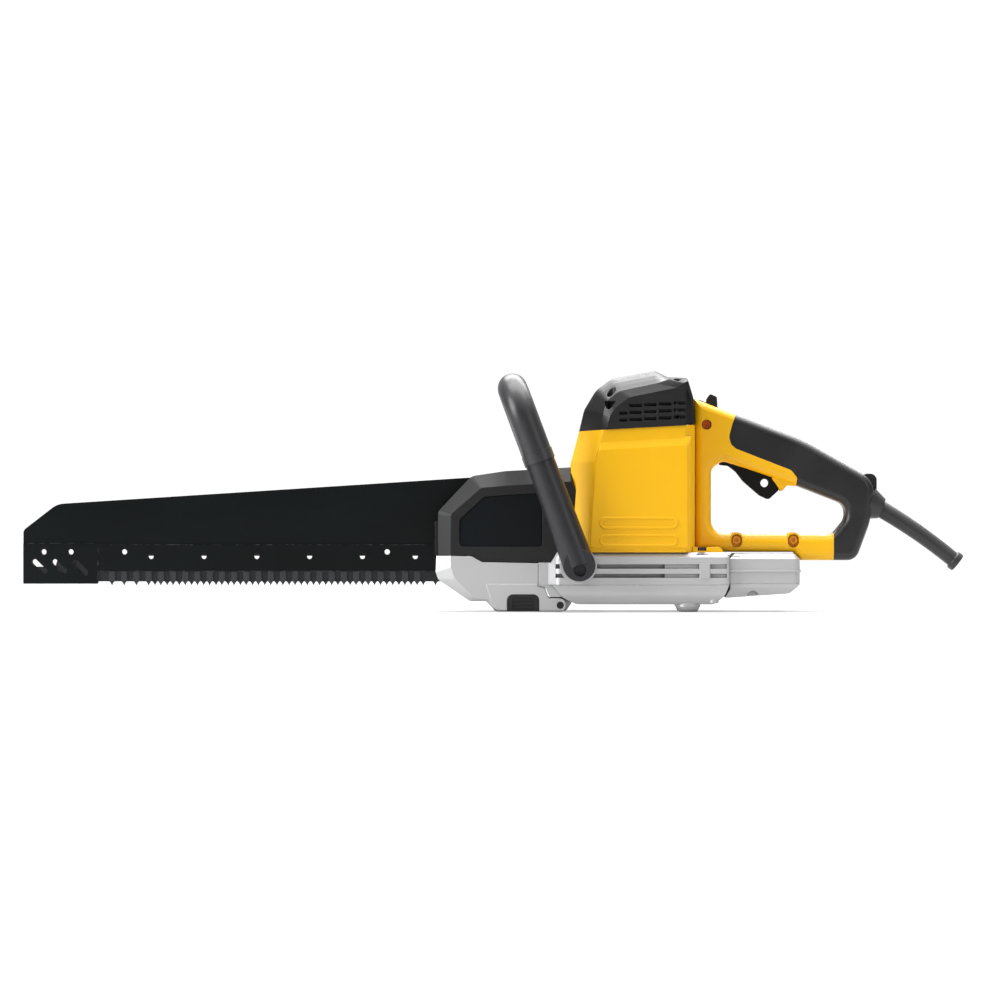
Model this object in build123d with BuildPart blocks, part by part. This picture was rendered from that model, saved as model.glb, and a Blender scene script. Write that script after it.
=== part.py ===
from build123d import *
import os
from math import acos, cos, degrees, pi, radians, sin, sqrt, tan

# Twin-blade masonry saw, built piece by piece.
#
# X runs from the blade tips (negative) to the cord (positive), Y to the tool's right side and Z up.
# The origin is on the ground, in the middle of the whole length, on the mid-plane of the saw.

os.makedirs("parts", exist_ok=True)

# ---------------------------------------------------------------- driving sizes
half_length = 490.5

# guide bar and blades
core_half = 2.5
rail_half = 4.0
nose_half = 4.2
core_bottom = 57.7
rail_top = 69.4
rail_bottom = 41.7
nose_end = -412.6
bar_rear = 73.0
blade_gap = 0.06
blade_side = 2.4
blade_top = 53.9
blade_bottom = 31.0
stroke = 40.0
tooth_pitch = 12.73
tooth_count = 26
tooth_half = 3.1
tooth_side = 3.8
tooth_tip = 26.8
first_tooth = -398.0

# drive
motor_x = 150.0
gear_module = 1.25
pinion_teeth = 11
gear_teeth = 66
crank_x = motor_x + gear_module * (pinion_teeth + gear_teeth) / 2
crank_radius = stroke / 2
crank_pin_r = 5.0
yoke_slot_half = 9.7
gear_low = 48.0
gear_high = 54.5
shaft_fit = 0.03

# housings
guard_half = 28.0
guard_rim = 16.0
guard_wall = 2.5
door_half = 30.0
door_wall = 3.0
case_half = 46.5
case_wall = 4.0
case_seam = 28.2
case_top = 61.8
case_rear = 244.2
motor_half = 48.0
motor_side = 45.4
motor_wall = 2.8
cap_base_front = 187.2
cap_base_slope = 0.0554
extension_half = 37.0
handle_half = 19.0
handle_wall = 2.8
grip_skin = 3.0

# bail handle
bail_half = 66.0
bail_r = 15.2
bail_core_r = 11.0
bail_foot = (88.0, 49.0)
bail_top = (19.6, 232.0)
bail_corner = 36.0

# hinge pins and pivots, as (x, z)
door_hinge = (69.2, 6.8)
trigger_pivot = (238.6, 158.0)


# ---------------------------------------------------------------- helpers
def side_plane(y):
    """Upright plane at y whose own axes are X and Z and whose normal is -Y."""
    return Plane.XZ.offset(-y)


def side_slab(points, rounding, y_from, y_to, mode=Mode.ADD, taper=0.0):
    """Plate with a rounded outline in X and Z, reaching from y_from to y_to."""
    with BuildSketch(side_plane(y_to)) as section:
        with BuildLine():
            FilletPolyline(points, radius=rounding, close=True)
        make_face()
    return extrude(section.sketch, amount=y_to - y_from, taper=taper, mode=mode)


def block(x, y, z, mode=Mode.ADD):
    """Box given by its (low, high) pair on each axis."""
    centre = [(pair[0] + pair[1]) / 2 for pair in (x, y, z)]
    size = [pair[1] - pair[0] for pair in (x, y, z)]
    with Locations(tuple(centre)):
        return Box(*size, mode=mode)


def rod(start, end, radius, mode=Mode.ADD, end_radius=None):
    """Round bar, or a cone when end_radius is given, between two points."""
    run = Vector(*end) - Vector(*start)
    along = Plane(origin=start, z_dir=run)
    if end_radius is None:
        with BuildSketch(along) as disc:
            Circle(radius)
        return extrude(disc.sketch, amount=run.length, mode=mode)
    with BuildSketch(along) as near_disc:
        Circle(radius)
    with BuildSketch(along.offset(run.length)) as far_disc:
        Circle(end_radius)
    return loft([near_disc.sketch, far_disc.sketch], mode=mode)


def ring(start, end, radius, bore):
    """Round sleeve between two points."""
    rod(start, end, radius)
    rod(start, end, bore, mode=Mode.SUBTRACT)


def save(piece, name):
    """Label a finished piece and write it out under the same name."""
    piece.part.label = name
    export_step(piece.part, f"parts/{name}.step")


def mirrored(piece):
    """The same piece on the other side of the saw."""
    with BuildPart() as other:
        mirror(piece.part, about=Plane.XZ)
    return other


# ---------------------------------------------------------------- guide bar
bar_outline = [
    (-half_length, 28.6),
    (-half_length, 84.5),
    (-455.2, 111.8),
    (-24.0, 139.4),
    (-12.0, 128.0),
    (bar_rear, 128.0),
    (bar_rear, 62.6),
    (57.0, 62.6),
    (52.0, core_bottom),
    (-485.6, core_bottom),
    (-485.6, 28.6),
]
see_through_x = (-469.0, -440.8, -385.0, -111.0)
see_through_z = 61.8
see_through_r = 2.8
bar_bolt_x = 64.6
bar_bolt_z = (80.0, 97.0, 114.0)
bar_bolt_r = 3.0

with BuildPart() as guide_bar_core:
    side_slab(bar_outline, [0, 6, 22, 3, 3, 2, 0, 2, 2, 0, 0], -core_half, core_half)
    for x in see_through_x:
        rod((x, -9, see_through_z), (x, 9, see_through_z), see_through_r, mode=Mode.SUBTRACT)
    for z in bar_bolt_z:
        rod((bar_bolt_x, -9, z), (bar_bolt_x, 9, z), bar_bolt_r + 0.2, mode=Mode.SUBTRACT)
save(guide_bar_core, "guide_bar_core")

rail_outline = [
    (nose_end + 0.3, rail_bottom),
    (nose_end + 0.3, rail_top),
    (-4.0, rail_top),
    (-4.0, rail_bottom),
]
rail_hole_first = -357.3
rail_hole_pitch = 55.1
rail_hole_count = 7
rail_hole_z = 57.0
rail_hole_r = 2.7

with BuildPart() as rail_plate_left:
    side_slab(rail_outline, 0.6, -rail_half, -core_half)
    for i in range(rail_hole_count):
        x = rail_hole_first + i * rail_hole_pitch
        rod((x, -9, rail_hole_z), (x, 0, rail_hole_z), rail_hole_r, mode=Mode.SUBTRACT)
    for x in see_through_x[2:]:
        rod((x, -9, see_through_z), (x, 0, see_through_z), see_through_r, mode=Mode.SUBTRACT)
save(rail_plate_left, "rail_plate_left")
save(mirrored(rail_plate_left), "rail_plate_right")

nose_outline = [
    (-half_length, 28.6),
    (-half_length, 71.0),
    (nose_end, 71.0),
    (nose_end, 28.6),
]
nose_slots = ((-478.4, 51.4), (-457.5, 51.4), (-435.6, 50.4))
nose_slot_run = 9.9
nose_slot_r = 2.85

with BuildPart() as nose_plate_left:
    side_slab(nose_outline, [1, 1, 4, 1], -nose_half, -core_half)
    for x, z in nose_slots:
        with BuildSketch(side_plane(0)) as slot:
            with Locations((x + nose_slot_run / 2, z - nose_slot_run / 2)):
                SlotCenterToCenter(nose_slot_run * sqrt(2), 2 * nose_slot_r, rotation=-45)
        extrude(slot.sketch, amount=9, mode=Mode.SUBTRACT)
    for x in see_through_x[:2]:
        rod((x, -9, see_through_z), (x, 0, see_through_z), see_through_r, mode=Mode.SUBTRACT)
save(nose_plate_left, "nose_plate_left")
save(mirrored(nose_plate_left), "nose_plate_right")

bar_grip_half = 12.0
with BuildPart() as bar_clamp_bolts:
    for z in bar_bolt_z:
        rod((bar_bolt_x, -bar_grip_half - 4, z), (bar_bolt_x, bar_grip_half + 5, z), bar_bolt_r)
        rod((bar_bolt_x, -bar_grip_half - 4, z), (bar_bolt_x, -bar_grip_half, z), 5.0)
        with BuildSketch(side_plane(bar_grip_half + 5)) as nut:
            with Locations((bar_bolt_x, z)):
                RegularPolygon(5.5, 6)
        extrude(nut.sketch, amount=5)
save(bar_clamp_bolts, "bar_clamp_bolts")

# ---------------------------------------------------------------- blades and teeth
tang_end = 28.0
blade_bolt_x = (8.0, 22.0)
blade_bolt_z = 42.0
blade_bolt_r = 3.0
head_side = 12.0


def tooth_outline(x):
    """One carbide tooth: a column that ends in a hollow-ground point."""
    return [
        (x - tooth_half, rail_bottom - 0.4),
        (x + tooth_half, rail_bottom - 0.4),
        (x + tooth_half, blade_bottom + 0.6),
        (x + 1.3, 29.4),
        (x, tooth_tip),
        (x - 1.3, 29.4),
        (x - tooth_half, blade_bottom + 0.6),
    ]


def teeth_row(first, side):
    """The row of teeth on one blade; side is -1 for the left blade and 1 for the right."""
    near, far = sorted((side * 0.15, side * tooth_side))
    with BuildPart() as row:
        for i in range(tooth_count):
            side_slab(tooth_outline(first + i * tooth_pitch), 0, near, far)
    return row


def saw_blade(shift, teeth, side):
    """Blade strip with its narrow nose, its two bolt holes and a seat for each tooth."""
    near, far = sorted((side * blade_gap, side * blade_side))
    outline = [
        (-484.0 + shift, blade_bottom),
        (-484.0 + shift, 46.4),
        (-457.0 + shift, 46.4),
        (-455.0 + shift, blade_top),
        (tang_end + shift, blade_top),
        (tang_end + shift, blade_bottom),
    ]
    with BuildPart() as strip:
        side_slab(outline, [2, 2, 0.8, 1.5, 2, 2], near, far)
        for i in range(tooth_count):
            x = teeth + i * tooth_pitch
            seat = (x - tooth_half, x + tooth_half)
            block(seat, (-9, 9), (blade_bottom - 1, rail_bottom - 0.4), mode=Mode.SUBTRACT)
        for x in blade_bolt_x:
            centre = x + shift
            bolt_start = (centre, -9, blade_bolt_z)
            rod(bolt_start, (centre, 9, blade_bolt_z), blade_bolt_r + 0.1, mode=Mode.SUBTRACT)
    return strip


def blade_bolt_pair(shift, side):
    """Cap screw and nut pairs that hold one blade to its rod."""
    with BuildPart() as pair:
        for x in blade_bolt_x:
            centre = x + shift
            inner = side * blade_gap
            rod((centre, inner, blade_bolt_z), (centre, side * (head_side + 4), blade_bolt_z), blade_bolt_r)
            head_start = (centre, side * head_side, blade_bolt_z)
            rod(head_start, (centre, side * (head_side + 4), blade_bolt_z), 4.8)
    return pair


left_teeth_first = first_tooth
right_teeth_first = first_tooth + 3.5 * tooth_pitch
save(teeth_row(left_teeth_first, -1), "teeth_left")
save(teeth_row(right_teeth_first, 1), "teeth_right")
save(saw_blade(0, left_teeth_first, -1), "blade_left")
save(saw_blade(stroke, right_teeth_first, 1), "blade_right")
save(blade_bolt_pair(0, -1), "blade_bolts_left")
save(blade_bolt_pair(stroke, 1), "blade_bolts_right")

# ---------------------------------------------------------------- yokes and rods
left_yoke_z = (37.5, 46.0)
right_yoke_z = (21.0, 29.5)
yoke_x_half = 17.0
yoke_y_half = 32.0
rod_inner = 2.6
tail_half = 6.0
left_tail_z = (38.5, 45.0)
right_tail_z = (23.5, 28.5)


def yoke_and_rod(pin_x, shift, side, level, head_low, tail_level, rear_end):
    """Slotted yoke round a crank pin, with the blade rod in front and a guide tail behind."""
    near, far = sorted((side * rod_inner, side * head_side))
    head_near, head_far = sorted((side * blade_side, side * head_side))
    with BuildPart() as yoke:
        block((pin_x - yoke_x_half, pin_x + yoke_x_half), (-yoke_y_half, yoke_y_half), level)
        fillet(yoke.edges().filter_by(Axis.Z), radius=6)
        block((shift + 20, pin_x - yoke_x_half + 2), (near, far), level)
        block((shift, shift + 30), (head_near, head_far), (head_low, 46.0))
        block((pin_x + yoke_x_half - 2, rear_end), (-tail_half, tail_half), tail_level)
        with BuildSketch(Plane.XY.offset(level[0])) as slot:
            with Locations((pin_x, 0)):
                RectangleRounded(2 * yoke_slot_half, 2 * (crank_radius + crank_pin_r + 1.5), 4)
        extrude(slot.sketch, amount=level[1] - level[0], mode=Mode.SUBTRACT)
        for x in blade_bolt_x:
            centre = x + shift
            bolt_end = (centre, side * 20, blade_bolt_z)
            rod((centre, 0, blade_bolt_z), bolt_end, blade_bolt_r + 0.1, mode=Mode.SUBTRACT)
    return yoke


save(yoke_and_rod(crank_x - crank_radius, 0, -1, left_yoke_z, 34.0, left_tail_z, 262.0), "yoke_left")
save(yoke_and_rod(crank_x + crank_radius, stroke, 1, right_yoke_z, 24.0, right_tail_z, 300.0), "yoke_right")

bushing_x = (72.0, 86.0)
left_bush_z = (33.6, 50.0)
right_bush_z = (17.0, 33.4)
tail_bush_x = (246.0, 256.0)
slide_fit = 0.05


def square_bush(x, y, z, hole_y, hole_z):
    """Guide block with one rectangular hole along X."""
    block(x, y, z)
    loose_y = (hole_y[0] - slide_fit, hole_y[1] + slide_fit)
    loose_z = (hole_z[0] - slide_fit, hole_z[1] + slide_fit)
    block((x[0] - 1, x[1] + 1), loose_y, loose_z, mode=Mode.SUBTRACT)


with BuildPart() as rod_bushings:
    square_bush(bushing_x, (-16, 1.2), left_bush_z, (-head_side, -rod_inner), left_yoke_z)
    square_bush(bushing_x, (-1.2, 16), right_bush_z, (rod_inner, head_side), right_yoke_z)
    tail_hole = (-tail_half, tail_half)
    square_bush(tail_bush_x, (-10, 10), (34.0, 49.0), tail_hole, left_tail_z)
    square_bush(tail_bush_x, (-10, 10), (20.5, 31.6), tail_hole, right_tail_z)
save(rod_bushings, "rod_bushings")


# ---------------------------------------------------------------- gears, crank and armature
def gear_face(teeth, tip_r, root_r, slack, phase):
    """Spur gear outline with involute flanks, three points to a flank."""
    pitch_r = gear_module * teeth / 2
    base_r = pitch_r * cos(radians(20))
    half_tooth = (pi * gear_module / 2 - slack) / (2 * pitch_r) + tan(radians(20)) - radians(20)
    start_r = max(base_r, root_r)

    def flank(radius):
        lean = acos(min(1.0, base_r / radius))
        return half_tooth - (tan(lean) - lean)

    def polar(radius, angle):
        return (radius * cos(angle), radius * sin(angle))

    middle_r = (start_r + tip_r) / 2
    with BuildSketch() as face:
        Circle(root_r + 0.05)
        for i in range(teeth):
            turn = phase + 2 * pi * i / teeth
            with BuildLine():
                Polyline(
                    polar(root_r - 0.6, turn - flank(start_r)),
                    polar(start_r, turn - flank(start_r)),
                    polar(middle_r, turn - flank(middle_r)),
                    polar(tip_r, turn - flank(tip_r)),
                    polar(tip_r, turn + flank(tip_r)),
                    polar(middle_r, turn + flank(middle_r)),
                    polar(start_r, turn + flank(start_r)),
                    polar(root_r - 0.6, turn + flank(start_r)),
                    close=True,
                )
            make_face()
    return face.sketch


gear_slack = 0.15
gear_tip = gear_module * gear_teeth / 2 + 0.7
gear_root = gear_module * gear_teeth / 2 - 1.45
pinion_tip = gear_module * pinion_teeth / 2 + 1.1
pinion_root = gear_module * pinion_teeth / 2 - 1.0
crank_journal_r = 6.0
crank_bearing_z = (55.0, 60.6)

with BuildPart() as crank_gear:
    gear_sketch = gear_face(gear_teeth, gear_tip, gear_root, gear_slack, 0.0)
    extrude(Pos(crank_x, 0, gear_low) * gear_sketch, amount=gear_high - gear_low)
    rod((crank_x, 0, gear_low - 1), (crank_x, 0, gear_high + 1), crank_journal_r, mode=Mode.SUBTRACT)
    for i in range(6):
        angle = radians(60 * i + 30)
        x = crank_x + 27 * cos(angle)
        y = 27 * sin(angle)
        rod((x, y, gear_low - 1), (x, y, gear_high + 1), 6.5, mode=Mode.SUBTRACT)
save(crank_gear, "crank_gear")

web_r = 26.5
with BuildPart() as crankshaft:
    rod((crank_x, 0, gear_low), (crank_x, 0, 60.6), crank_journal_r)
    rod((crank_x, 0, 46.8), (crank_x, 0, gear_low), web_r)
    left_pin_x = crank_x - crank_radius
    right_pin_x = crank_x + crank_radius
    rod((left_pin_x, 0, 35.5), (left_pin_x, 0, 46.8), crank_pin_r)
    rod((crank_x, 0, 31.5), (crank_x, 0, 35.5), web_r)
    rod((right_pin_x, 0, 19.8), (right_pin_x, 0, 31.5), crank_pin_r)
    rod((crank_x, 0, 17.3), (crank_x, 0, 19.8), web_r)
    rod((crank_x, 0, 11.8), (crank_x, 0, 17.3), 5.0)
save(crankshaft, "crankshaft")

with BuildPart() as crank_bearings:
    bearing_low, bearing_high = crank_bearing_z
    ring((crank_x, 0, bearing_low), (crank_x, 0, bearing_high), 13.0, crank_journal_r + shaft_fit)
    ring((crank_x, 0, 12.0), (crank_x, 0, 16.8), 9.0, 5.0 + shaft_fit)
save(crank_bearings, "crank_bearings")

shaft_r = 5.0
with BuildPart() as armature_shaft:
    pinion_sketch = gear_face(pinion_teeth, pinion_tip, pinion_root, gear_slack, pi / pinion_teeth)
    extrude(Pos(motor_x, 0, gear_low - 0.5) * pinion_sketch, amount=8.0)
    rod((motor_x, 0, gear_low), (motor_x, 0, 200.0), shaft_r)
save(armature_shaft, "armature_shaft")

with BuildPart() as motor_bearings:
    ring((motor_x, 0, 57.0), (motor_x, 0, 65.5), 12.0, shaft_r + shaft_fit)
    ring((motor_x, 0, 190.0), (motor_x, 0, 198.0), 11.0, shaft_r + shaft_fit)
save(motor_bearings, "motor_bearings")

armature_slots = 12
with BuildPart() as armature_core:
    ring((motor_x, 0, 97.0), (motor_x, 0, 149.0), 24.6, shaft_r)
    for i in range(armature_slots):
        angle = 2 * pi * i / armature_slots
        x = motor_x + 20 * cos(angle)
        y = 20 * sin(angle)
        rod((x, y, 96.0), (x, y, 150.0), 3.0, mode=Mode.SUBTRACT)
save(armature_core, "armature_core")

with BuildPart() as armature_windings:
    for z in ((87.0, 97.0), (149.0, 160.0)):
        ring((motor_x, 0, z[0]), (motor_x, 0, z[1]), 22.8, 8.0)
    fillet(armature_windings.edges().filter_by(GeomType.CIRCLE).sort_by(SortBy.RADIUS)[-4:], radius=3)
    for i in range(armature_slots):
        angle = 2 * pi * i / armature_slots
        x = motor_x + 20 * cos(angle)
        y = 20 * sin(angle)
        rod((x, y, 97.0), (x, y, 149.0), 2.8)
save(armature_windings, "armature_windings")

commutator_bars = 24
with BuildPart() as commutator:
    ring((motor_x, 0, 164.0), (motor_x, 0, 184.0), 14.0, shaft_r)
    for i in range(commutator_bars):
        with BuildSketch(Plane.XY.offset(166.0)) as gap:
            with Locations((motor_x, 0)):
                with PolarLocations(13.6, 1, start_angle=360 * i / commutator_bars):
                    Rectangle(1.6, 0.6)
        extrude(gap.sketch, amount=20, mode=Mode.SUBTRACT)
save(commutator, "commutator")

fan_blades = 16
with BuildPart() as fan:
    ring((motor_x, 0, 70.0), (motor_x, 0, 72.0), 37.0, shaft_r)
    ring((motor_x, 0, 72.0), (motor_x, 0, 83.0), 9.0, shaft_r)
    for i in range(fan_blades):
        with BuildSketch(Plane.XY.offset(72.0)) as vane:
            with Locations((motor_x, 0)):
                with PolarLocations(25.0, 1, start_angle=360 * i / fan_blades):
                    Rectangle(22, 1.4, rotation=28)
        extrude(vane.sketch, amount=10)
save(fan, "fan")

with BuildPart() as stator_core:
    ring((motor_x, 0, 98.0), (motor_x, 0, 148.0), 41.8, 25.4)
    for side in (-1, 1):
        block((motor_x - 14, motor_x + 14), sorted((side * 24, side * 34)), (90, 160), mode=Mode.SUBTRACT)
save(stator_core, "stator_core")

with BuildPart() as field_coils:
    for side in (-1, 1):
        block((motor_x - 13, motor_x + 13), sorted((side * 26.5, side * 33.5)), (90.0, 156.0))
    fillet(field_coils.edges().filter_by(Axis.X), radius=2.5)
save(field_coils, "field_coils")

brush_z = (169.0, 179.0)
with BuildPart() as carbon_brushes:
    for side in (-1, 1):
        block((motor_x - 3.5, motor_x + 3.5), sorted((side * 14.1, side * 27)), brush_z)
save(carbon_brushes, "carbon_brushes")

with BuildPart() as brush_holders:
    for side in (-1, 1):
        near, far = sorted((side * 17, side * 36))
        block((motor_x - 5.5, motor_x + 5.5), (near, far), (brush_z[0] - 2, brush_z[1] + 2))
        near, far = sorted((side * 16, side * 27.2))
        slot_z = (brush_z[0] - 0.1, brush_z[1] + 0.1)
        block((motor_x - 3.6, motor_x + 3.6), (near, far), slot_z, mode=Mode.SUBTRACT)
save(brush_holders, "brush_holders")

with BuildPart() as bearing_bridge:
    rod((motor_x, 0, 184.8), (motor_x, 0, 200.5), 14.5)
    rod((motor_x, 0, 190.0), (motor_x, 0, 198.0), 11.0, mode=Mode.SUBTRACT)
    rod((motor_x, 0, 180.0), (motor_x, 0, 200.5), shaft_r + 1.0, mode=Mode.SUBTRACT)
    for side in (-1, 1):
        block((motor_x - 9, motor_x + 9), sorted((side * 13.5, side * 42.0)), (186.0, 191.0))
        block((motor_x - 9, motor_x + 9), sorted((side * 36.0, side * 42.0)), (148.5, 188.0))
save(bearing_bridge, "bearing_bridge")

# ---------------------------------------------------------------- motor housing
motor_levels = ((case_top, 74.0, 96.5), (155.0, 80.8, 103.5), (205.0, 94.3, 117.5))
motor_rear = 208.3
motor_front_half = 20.0
motor_rear_half = 37.0


def motor_body(inset, floor, mode=Mode.ADD):
    """Eight-sided drafted body of the motor housing, drawn in by inset on every side."""
    sections = []
    for z, front, corner in motor_levels:
        side = motor_side - inset
        rear = motor_rear - inset
        points = [
            (front + inset, -motor_front_half),
            (corner + 0.4 * inset, -side),
            (rear - 10, -side),
            (rear, -motor_rear_half + 0.4 * inset),
            (rear, motor_rear_half - 0.4 * inset),
            (rear - 10, side),
            (corner + 0.4 * inset, side),
            (front + inset, motor_front_half),
        ]
        height = floor if z == case_top else z
        with BuildSketch(Plane.XY.offset(height)) as level:
            with BuildLine():
                FilletPolyline(points, radius=4.0, close=True)
            make_face()
        sections.append(level.sketch)
    return loft(sections, ruled=True, mode=mode)


def cap_line(x):
    """Height of the slanted joint between the motor housing and its top cap."""
    return cap_base_front + cap_base_slope * (x - 89.3)


def above_cap_line(shift, mode):
    """Everything above the slanted joint."""
    edge = [(40, cap_line(40) + shift), (260, cap_line(260) + shift), (260, 300), (40, 300)]
    side_slab(edge, 0, -90, 90, mode=mode)


rib_centres = (92.2, 74.3)
flange_outline = [(206.0, case_top), (206.0, 67.4), (234.0, 67.4), (238.8, case_top)]
flange_sides = (20.0, 41.0)
flange_screw = (215.7, 36.8)
flange_seat = 63.4
flange_pocket_r = 6.2
flange_shank_r = 2.0
flange_head_r = 4.6
rib_length = 81.4
rib_height = 12.8

with BuildPart() as motor_housing:
    motor_body(0, case_top)
    with BuildSketch(side_plane(-motor_side + 0.5)) as panel_root:
        with BuildLine():
            FilletPolyline(
                (97.6, 64.5), (103.6, 150), (110.8, 177.0), (205.0, 182.2), (205.0, 64.5),
                radius=[1, 1, 3, 3, 1], close=True,
            )
        make_face()
    with BuildSketch(side_plane(-motor_half)) as panel_face:
        with BuildLine():
            FilletPolyline(
                (100.0, 67.0), (105.2, 150), (108.6, 167.4), (199.5, 172.6), (200.5, 67.0),
                radius=[1, 1, 3, 3, 1], close=True,
            )
        make_face()
    loft([panel_root.sketch, panel_face.sketch], ruled=True)
    for z in rib_centres:
        with BuildSketch(side_plane(-motor_half)) as rib:
            with Locations((149.9, z)):
                SlotOverall(rib_length, rib_height)
                SlotOverall(rib_length - 5.2, rib_height - 5.2, mode=Mode.SUBTRACT)
        extrude(rib.sketch, amount=0.9, taper=30)
    side_slab(flange_outline, [0, 1.5, 3, 1], -flange_sides[1], -flange_sides[0])
    flange_screw_x, flange_screw_y = flange_screw
    screw_at = (flange_screw_x, -flange_screw_y)
    rod((*screw_at, flange_seat), (*screw_at, 90), flange_pocket_r, mode=Mode.SUBTRACT)
    rod((*screw_at, case_top - 1), (*screw_at, 90), flange_shank_r + 0.05, mode=Mode.SUBTRACT)
    split(bisect_by=Plane.XZ, keep=Keep.TOP)
    mirror(about=Plane.XZ)
    motor_body(motor_wall, case_top - 1, mode=Mode.SUBTRACT)
    above_cap_line(0, Mode.SUBTRACT)
save(motor_housing, "motor_housing")

with BuildPart() as housing_screws:
    for side in (-1, 1):
        place = (flange_screw[0], side * flange_screw[1])
        rod((*place, flange_seat), (*place, flange_seat + 3.6), flange_head_r)
        rod((*place, 58.6), (*place, flange_seat), flange_shank_r)
        with BuildSketch(Plane.XY.offset(flange_seat + 1.4)) as key:
            with Locations(place):
                RegularPolygon(2.4, 6)
        extrude(key.sketch, amount=4, mode=Mode.SUBTRACT)
save(housing_screws, "housing_screws")

# ---------------------------------------------------------------- vented top cap
cap_crown = [
    (89.3, 187.2), (94.6, 209.8), (107.0, 230.5), (124.0, 242.4), (167.5, 250.2),
    (181.0, 243.8), (201.5, 243.0), (207.0, 222.0), (208.3, 193.8),
]
cap_shoulder = [
    (112.4, 188.5), (113.2, 205.0), (116.5, 218.0), (130.0, 228.5), (168.5, 236.6),
    (181.4, 240.8), (200.9, 240.4), (206.6, 222.0), (208.2, 193.8),
]
cap_side = [
    (116.9, 188.7), (120.0, 202.1), (125.0, 210.5), (140.0, 222.0), (189.9, 232.0),
    (196.5, 236.6), (200.5, 238.4), (206.2, 222.0), (208.1, 193.8),
]
cap_crown_rounding = [0, 20, 22, 16, 3, 5, 4, 14, 0]
cap_side_rounding = [0, 8, 8, 12, 3, 2, 2.4, 10, 0]
cap_side_half = motor_half - 0.6
cap_crown_half = 14.0
cap_shoulder_half = 42.0
cap_crown_power = 1.4
cap_front_corners = 2
cap_centre_x = 150.0
cap_inner_scale = 0.955
cap_screw_places = ((122.0, 36.0, 206.0), (190.4, 40.0, 222.0))
cap_screw_land = 7.0
driver_relief = (120.6, 41.5)
baffle_half = 38.0
baffle_wall = 1.6
vent_columns = ((140.3, 153.4), (155.6, 168.5), (170.8, 184.0), (186.0, 198.5), (201.0, 206.0))
vent_rows = (199.2, 206.5, 213.6)
vent_height = 3.7


def cap_section(reach, size, floor):
    """Side outline of the cap at one distance from the mid-plane, scaled by size about its base.

    The front corners run straight back with the housing's, and the roof falls away in a curve.
    """
    share = min(1, max(0, (reach - cap_crown_half) / (cap_shoulder_half - cap_crown_half)))
    drop = max(0, (reach - cap_shoulder_half) / (cap_side_half - cap_shoulder_half))
    points = []
    for corner, (crown, shoulder, side) in enumerate(zip(cap_crown, cap_shoulder, cap_side)):
        eased = share if corner < cap_front_corners else share**cap_crown_power
        x = crown[0] + eased * (shoulder[0] - crown[0]) + drop * (side[0] - shoulder[0])
        z = crown[1] + eased * (shoulder[1] - crown[1]) + drop * (side[1] - shoulder[1])
        z = z if size == 1 or corner not in (0, len(cap_crown) - 1) else floor
        points.append((cap_centre_x + size * (x - cap_centre_x), floor + size * (z - floor)))
    rounding = [a + share * (b - a) for a, b in zip(cap_crown_rounding, cap_side_rounding)]
    with BuildSketch(side_plane(-reach * size)) as section:
        with BuildLine():
            FilletPolyline(points, radius=rounding, close=True)
        make_face()
    return section.sketch


def cap_body(size, floor, mode):
    """Left half of the cap's outer shape, or of the hollow in it when size is under 1."""
    reaches = (cap_crown_half, 21.0, 28.0, 35.0, cap_shoulder_half, cap_side_half)
    extrude(cap_section(cap_crown_half, size, floor), amount=-cap_crown_half * size, mode=mode)
    loft([cap_section(reach, size, floor) for reach in reaches], ruled=True, mode=mode)


def cut_rear_corners():
    """Bring the cap's rear corners in to the housing's."""
    with BuildSketch(Plane.XY.offset(180)) as rear_corners:
        with BuildLine():
            FilletPolyline(
                (60, -60), (197.5, -60), (197.5, -motor_half + 0.4), (208.5, -motor_rear_half),
                (208.5, 60), (60, 60), radius=[0, 0, 0, 4, 0, 0], close=True,
            )
        make_face()
    extrude(rear_corners.sketch, amount=90, mode=Mode.INTERSECT)


with BuildPart() as cap_hollow:
    cap_body(cap_inner_scale, 182.0, Mode.ADD)
    cut_rear_corners()

with BuildPart() as top_cap:
    cap_body(1, 187.2, Mode.ADD)
    cut_rear_corners()
    cap_left = Part(top_cap.part.wrapped)
    add(cap_hollow.part, mode=Mode.SUBTRACT)
    for x, y, seat in cap_screw_places:
        rod((x, -y, seat - 3), (x, -y, 252), cap_screw_land)
    block((131.0, 206.0), (-baffle_half - baffle_wall, -baffle_half), (195.0, 246.0))
    add(cap_left, mode=Mode.INTERSECT)
    for x, y, seat in cap_screw_places:
        rod((x, -y, seat), (x, -y, 256), 4.6, mode=Mode.SUBTRACT)
        rod((x, -y, 180), (x, -y, 256), 2.2, mode=Mode.SUBTRACT)
    relief_x, relief_y = driver_relief
    rod((relief_x, -relief_y, 205.0), (relief_x, -relief_y, 218.2), 2.0, end_radius=6.6, mode=Mode.SUBTRACT)
    for z in vent_rows:
        first = (130.0, 138.4)
        columns = vent_columns if z == vent_rows[-1] else (first, *vent_columns)
        for low, high in columns:
            height = z + cap_base_slope * ((low + high) / 2 - cap_centre_x)
            block((low, high), (-60, -41.5), (height - vent_height / 2, height + vent_height / 2),
                  mode=Mode.SUBTRACT)
    mirror(about=Plane.XZ)
save(top_cap, "top_cap")

with BuildPart() as cap_screws:
    for x, y, seat in cap_screw_places:
        for side in (-1, 1):
            rod((x, side * y, seat), (x, side * y, seat + 3), 4.2)
            rod((x, side * y, seat - 16), (x, side * y, seat + 1), 2.0)
            with BuildSketch(Plane.XY.offset(seat + 3)) as star:
                with Locations((x, side * y)):
                    RegularPolygon(2.2, 6)
            extrude(star.sketch, amount=-1.8, mode=Mode.SUBTRACT)
save(cap_screws, "cap_screws")

# ---------------------------------------------------------------- front blade guard
guard_slot = 4.4


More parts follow.
